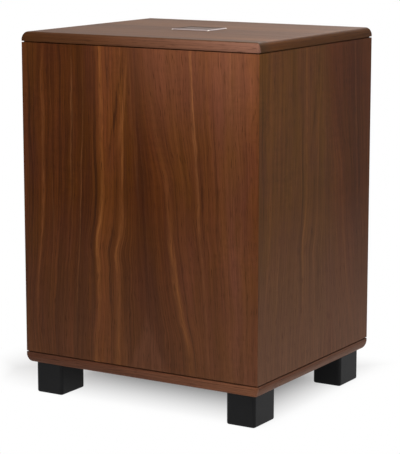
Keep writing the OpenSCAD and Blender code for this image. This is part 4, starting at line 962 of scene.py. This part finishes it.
ink_white = speckled(
    "print_white", (214, 214, 208), (236, 236, 230), grit=4000, rough=(0.5, 0.65), dent=0.05)
speckled(
    "knob_plastic", (19, 19, 20), (29, 29, 30), *KNOBS, grit=3200, cloud=120, rough=(0.4, 0.55))
for name in KNOBS:
    body = name.replace("knob", "control")
    centre, half = extent(name)
    bm = bmesh.new()
    bmesh.ops.create_cube(bm, size=1.0)
    bmesh.ops.bevel(bm, geom=bm.edges[:], offset=POINTER_BEVEL, segments=2, profile=0.5,
                    affect="EDGES", material=-1)
    size = Vector((POINTER_WIDTH, POINTER_FLOOR - POINTER_FACE, POINTER_OUT - POINTER_IN))
    bmesh.ops.scale(bm, vec=size, verts=bm.verts[:])
    sunk = (POINTER_FLOOR + POINTER_FACE) / 2
    middle = Vector((centre.x, centre.y + half.y - sunk, centre.z + (POINTER_IN + POINTER_OUT) / 2))
    bmesh.ops.translate(bm, vec=middle, verts=bm.verts[:])
    pointer = new_piece(name.replace("knob", "pointer"), bm, ink_white)
    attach(pointer, body)
speckled(
    "control_metal", (166, 166, 162), (194, 194, 190), "pot_bodies", "toggle_bodies", "level_shaft",
    "crossover_shaft", "lfe_shaft", grit=2800, cloud=200, rough=(0.26, 0.42), Metallic=1.0)
speckled(
    "bright_metal", (206, 206, 206), (228, 228, 228), "panel_nuts", "phase_lever", "mode_lever",
    "mains_pins", grit=2000, cloud=300, rough=(0.1, 0.2), dent=0.04, Metallic=1.0)
print("pointers on:", KNOBS)

# %% [markdown]
# ## Sockets, switch and fuse
#
# Mouldings at the sockets are a smoother black plastic. The rings of the phono sockets tell them
# apart by colour, white, red and violet. They are one solid, so the colour is picked by where a
# point lies across the plate. The fuse shows its glass between two metal caps in the same way.
# %% Sockets, switch, fuse and lamp
speckled(
    "switch_plastic", (17, 17, 18), (26, 26, 27), "power_switch_body", "power_rocker", "mains_inlet",
    "fuse_drawer", grit=2400, rough=(0.3, 0.42), dent=0.06)
speckled(
    "phono_gold", (196, 148, 66), (226, 180, 96), "phono_shells", grit=3000, rough=(0.16, 0.28),
    dent=0.04, Metallic=1.0)

RING_COLOURS = [(0.065, (170, 26, 24)), (0.032, (92, 52, 128))]
rings = speckled(
    "phono_rings", (222, 222, 216), (238, 238, 232), "phono_insulators", grit=2600, rough=(0.3, 0.42),
    dent=0.06)
x, _, _ = rings.axes()
for split, rgb in RING_COLOURS:
    rings.tint(rings.math("LESS_THAN", x, split), *rgb)

FUSE_CAP = 0.005
glass = speckled(
    "fuse_glass", (206, 214, 214), (222, 228, 228), "fuse", rough=(0.06, 0.12), dent=0.02,
    Transmission_Weight=0.7)
x, _, _ = glass.axes()
fuse_centre, fuse_half = extent("fuse")
cap = glass.math("GREATER_THAN", glass.apart(x, fuse_centre.x), fuse_half.x - FUSE_CAP)
glass.set({"Metallic": cap})

lens_green = speckled(
    "led_lens", (30, 110, 48), (48, 140, 66), "status_led", grit=1500, rough=(0.12, 0.2), dent=0.03,
    Transmission_Weight=0.25, Emission_Strength=0.25)
lens_green.set({"Emission Color": tone(60, 190, 90)})
print("sockets dressed")

# %% [markdown]
# ## Boards and windings
#
# The electronics sit behind the plate: green boards with tinned tracks, a ring transformer wrapped
# in yellow tape, capacitors in dark blue sleeves with bare tops, and the lead to the driver.
# %% Boards, transformer and capacitors
TRACKS, TRACK_WIDTH, PADS = 90.0, 0.06, 160.0
board = speckled(
    "board_green", (18, 70, 38), (28, 88, 50), "main_board", "input_board", grit=900, rough=(0.3, 0.42))
upright = board.node("Mapping", {"Vector": board.place, "Rotation": (math.pi / 2, 0, 0)})
bricks = {"Vector": upright, "Scale": TRACKS, "Mortar Size": TRACK_WIDTH,
          "Color1": (0, 0, 0, 1), "Color2": (0, 0, 0, 1), "Mortar": (1, 1, 1, 1)}
tracks = board.node("TexBrick", bricks, output="Fac")
pads = board.node("TexVoronoi", {"Vector": board.place, "Scale": PADS}, output="Distance")
pad_mask = board.span(pads, 0.16, 0.12)
tinned = board.math("MAXIMUM", board.times(tracks, 0.5), pad_mask)
board.tint(tinned, 176, 180, 170)

TAPE_TURNS = 44
tape = speckled(
    "transformer_tape", (196, 152, 40), (220, 178, 66), "power_transformer", grit=1600,
    rough=(0.28, 0.4))
hub, _ = extent("power_transformer")
x, _, z = tape.axes()
angle = tape.math("ARCTAN2", tape.minus(z, hub.z), tape.minus(x, hub.x))
ringed(tape, angle, TAPE_TURNS / (2 * math.pi), 0.0006, 0.5)

BARE_TOP = 0.0008
sleeve = speckled(
    "capacitor_sleeve", (22, 28, 62), (32, 40, 82), "filter_capacitors", rough=(0.25, 0.36))
_, y, _ = sleeve.axes()
top = sleeve.math("GREATER_THAN", y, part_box("filter_capacitors")[1].y - BARE_TOP)
sleeve.tint(top, 180, 182, 184)
sleeve.set({"Metallic": top})
speckled("lead_sheath", (24, 24, 26), (36, 36, 38), "driver_lead", rough=(0.4, 0.52))
print("electronics dressed")

# %% [markdown]
# ## Printing on the plate
#
# The scales round the knobs are screen printed in white. Only plain numbers and marks are printed.
# Ticks are thin boxes turned round each knob, and the numbers are text made into mesh. All of it
# becomes one piece that stands a few hundredths of a millimetre proud of the paint, like real ink.
# %% Screen-printed scales
INK_T = 0.00006
TICK_IN, TICK_OUT, TICK_WIDTH, SHORT_TICK = 0.0138, 0.0166, 0.0005, 0.0014
NUMBER_R, NUMBER_SIZE = 0.0203, 0.0040
LABEL_RISE = 0.0125
KNOB_SWEEP, SCALE_STEPS = math.radians(150), 10
PLATE_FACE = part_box("amp_plate")[1].y
TO_BACK = Matrix(((-1, 0, 0, 0), (0, 0, 1, 0), (0, 1, 0, 0), (0, 0, 0, 1)))
SCALES = ["0 2 4 6 8 10", "40 60 80 100 130 160", "0 2 4 6 8 10"]

print_bm = bmesh.new()


def print_tick(length, x, z, turn):
    """A printed bar, centred at a place on the plate and turned in its plane."""
    shape = Matrix.Rotation(turn, 4, "Y") @ Matrix.Diagonal((TICK_WIDTH, 2 * INK_T, length, 1))
    bmesh.ops.create_cube(print_bm, size=1.0, matrix=Matrix.Translation((x, PLATE_FACE, z)) @ shape)


def print_text(words, x, z):
    """Printed numbers or letters, centred at a place on the plate."""
    curve = bpy.data.curves.new("words", "FONT")
    curve.body = words
    curve.size = NUMBER_SIZE
    curve.extrude = INK_T
    curve.resolution_u = 3
    curve.align_x, curve.align_y = "CENTER", "CENTER"
    mesh = mesh_of(curve)
    mesh.transform(Matrix.Translation((x, PLATE_FACE, z)) @ TO_BACK)
    print_bm.from_mesh(mesh)
    bpy.data.meshes.remove(mesh)


for name, numbers in zip(KNOBS, SCALES):
    centre, _ = extent(name)
    for i in range(SCALE_STEPS + 1):
        turn = -KNOB_SWEEP + 2 * KNOB_SWEEP * i / SCALE_STEPS
        aim = Vector((-math.sin(turn), math.cos(turn)))
        length = TICK_OUT - TICK_IN if i % 2 == 0 else SHORT_TICK
        middle = TICK_IN + length / 2
        print_tick(length, centre.x + aim.x * middle, centre.z + aim.y * middle, -turn)
        if i % 2 == 0:
            place = aim * NUMBER_R
            print_text(numbers.split()[i // 2], centre.x + place.x, centre.z + place.y)

toggle_z = extent("toggle_bodies")[0].z
for name, above, below in (("phase_lever", "180", "0"), ("mode_lever", "ON", "OFF")):
    across = extent(name)[0].x
    print_text(above, across, toggle_z + LABEL_RISE)
    print_text(below, across, toggle_z - LABEL_RISE)
print_piece = new_piece("plate_print", print_bm, ink_white)
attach(print_piece, "cabinet")
print("printing:", len(print_piece.data.polygons), "faces")

# %% [markdown]
# ## Marks on the power rocker
#
# A bar and a ring are printed on the two halves of the rocker, which slope to each other. A ray shot
# at the rocker from behind finds where its face is and which way it leans, so each mark is laid on
# the slope and moves with the switch.
# %% Rocker marks
MARK_SIZE, MARK_STROKE, MARK_T, MARK_RISE = 0.0042, 0.0009, 0.00012, 0.0052
MARK_SIDES, RAY_START = 40, 0.05
rocker_mid, rocker_half = extent("power_rocker")


def on_rocker(height):
    """Where the rocker's face lies at a height, as a place and turn for a mark."""
    above = Vector((rocker_mid.x, rocker_mid.y + rocker_half.y + RAY_START, height))
    hit, place, lean, _ = nodes["power_rocker"].ray_cast(above, Vector((0, -1, 0)))
    assert hit, "no rocker face at this height"
    turn = Vector((0, 1, 0)).rotation_difference(lean).to_matrix().to_4x4()
    return Matrix.Translation(place) @ turn @ TO_BACK


mark_bm = bmesh.new()
bar_shape = Matrix.Diagonal((MARK_STROKE, MARK_SIZE, 2 * MARK_T, 1))
bmesh.ops.create_cube(mark_bm, size=1.0, matrix=on_rocker(rocker_mid.z + MARK_RISE) @ bar_shape)

radii = (MARK_SIZE / 2, MARK_SIZE / 2 - MARK_STROKE)
outer, inner = (bmesh.ops.create_circle(mark_bm, segments=MARK_SIDES, radius=r)["verts"] for r in radii)
loops = [e for e in mark_bm.edges if all(v in outer + inner for v in e.verts)]
ring_faces = bmesh.ops.bridge_loops(mark_bm, edges=loops)["faces"]
bmesh.ops.recalc_face_normals(mark_bm, faces=ring_faces)
bmesh.ops.translate(mark_bm, vec=(0, 0, MARK_T), verts=outer + inner)
walls = bmesh.ops.extrude_face_region(mark_bm, geom=ring_faces)["geom"]
lower = [g for g in walls if isinstance(g, bmesh.types.BMVert)]
bmesh.ops.translate(mark_bm, vec=(0, 0, -2 * MARK_T), verts=lower)
bmesh.ops.transform(mark_bm, matrix=on_rocker(rocker_mid.z - MARK_RISE), verts=outer + inner + lower)
bmesh.ops.recalc_face_normals(mark_bm, faces=mark_bm.faces[:])
marks = new_piece("rocker_marks", mark_bm, ink_white)
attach(marks, "power_switch")
print("rocker marks:", len(marks.data.polygons), "faces")

# %% [markdown]
# ## Last look
#
# Every solid should have a procedural finish by now, so the script lists any that was missed.
# %% Coverage of finishes
def dressed(piece):
    """Whether every material slot of a piece holds a tree of more than a bare shader."""
    return all(m and m.use_nodes and len(m.node_tree.nodes) > 3 for m in piece.data.materials)


print("pieces still bare:", [name for name, piece in nodes.items() if not dressed(piece)])
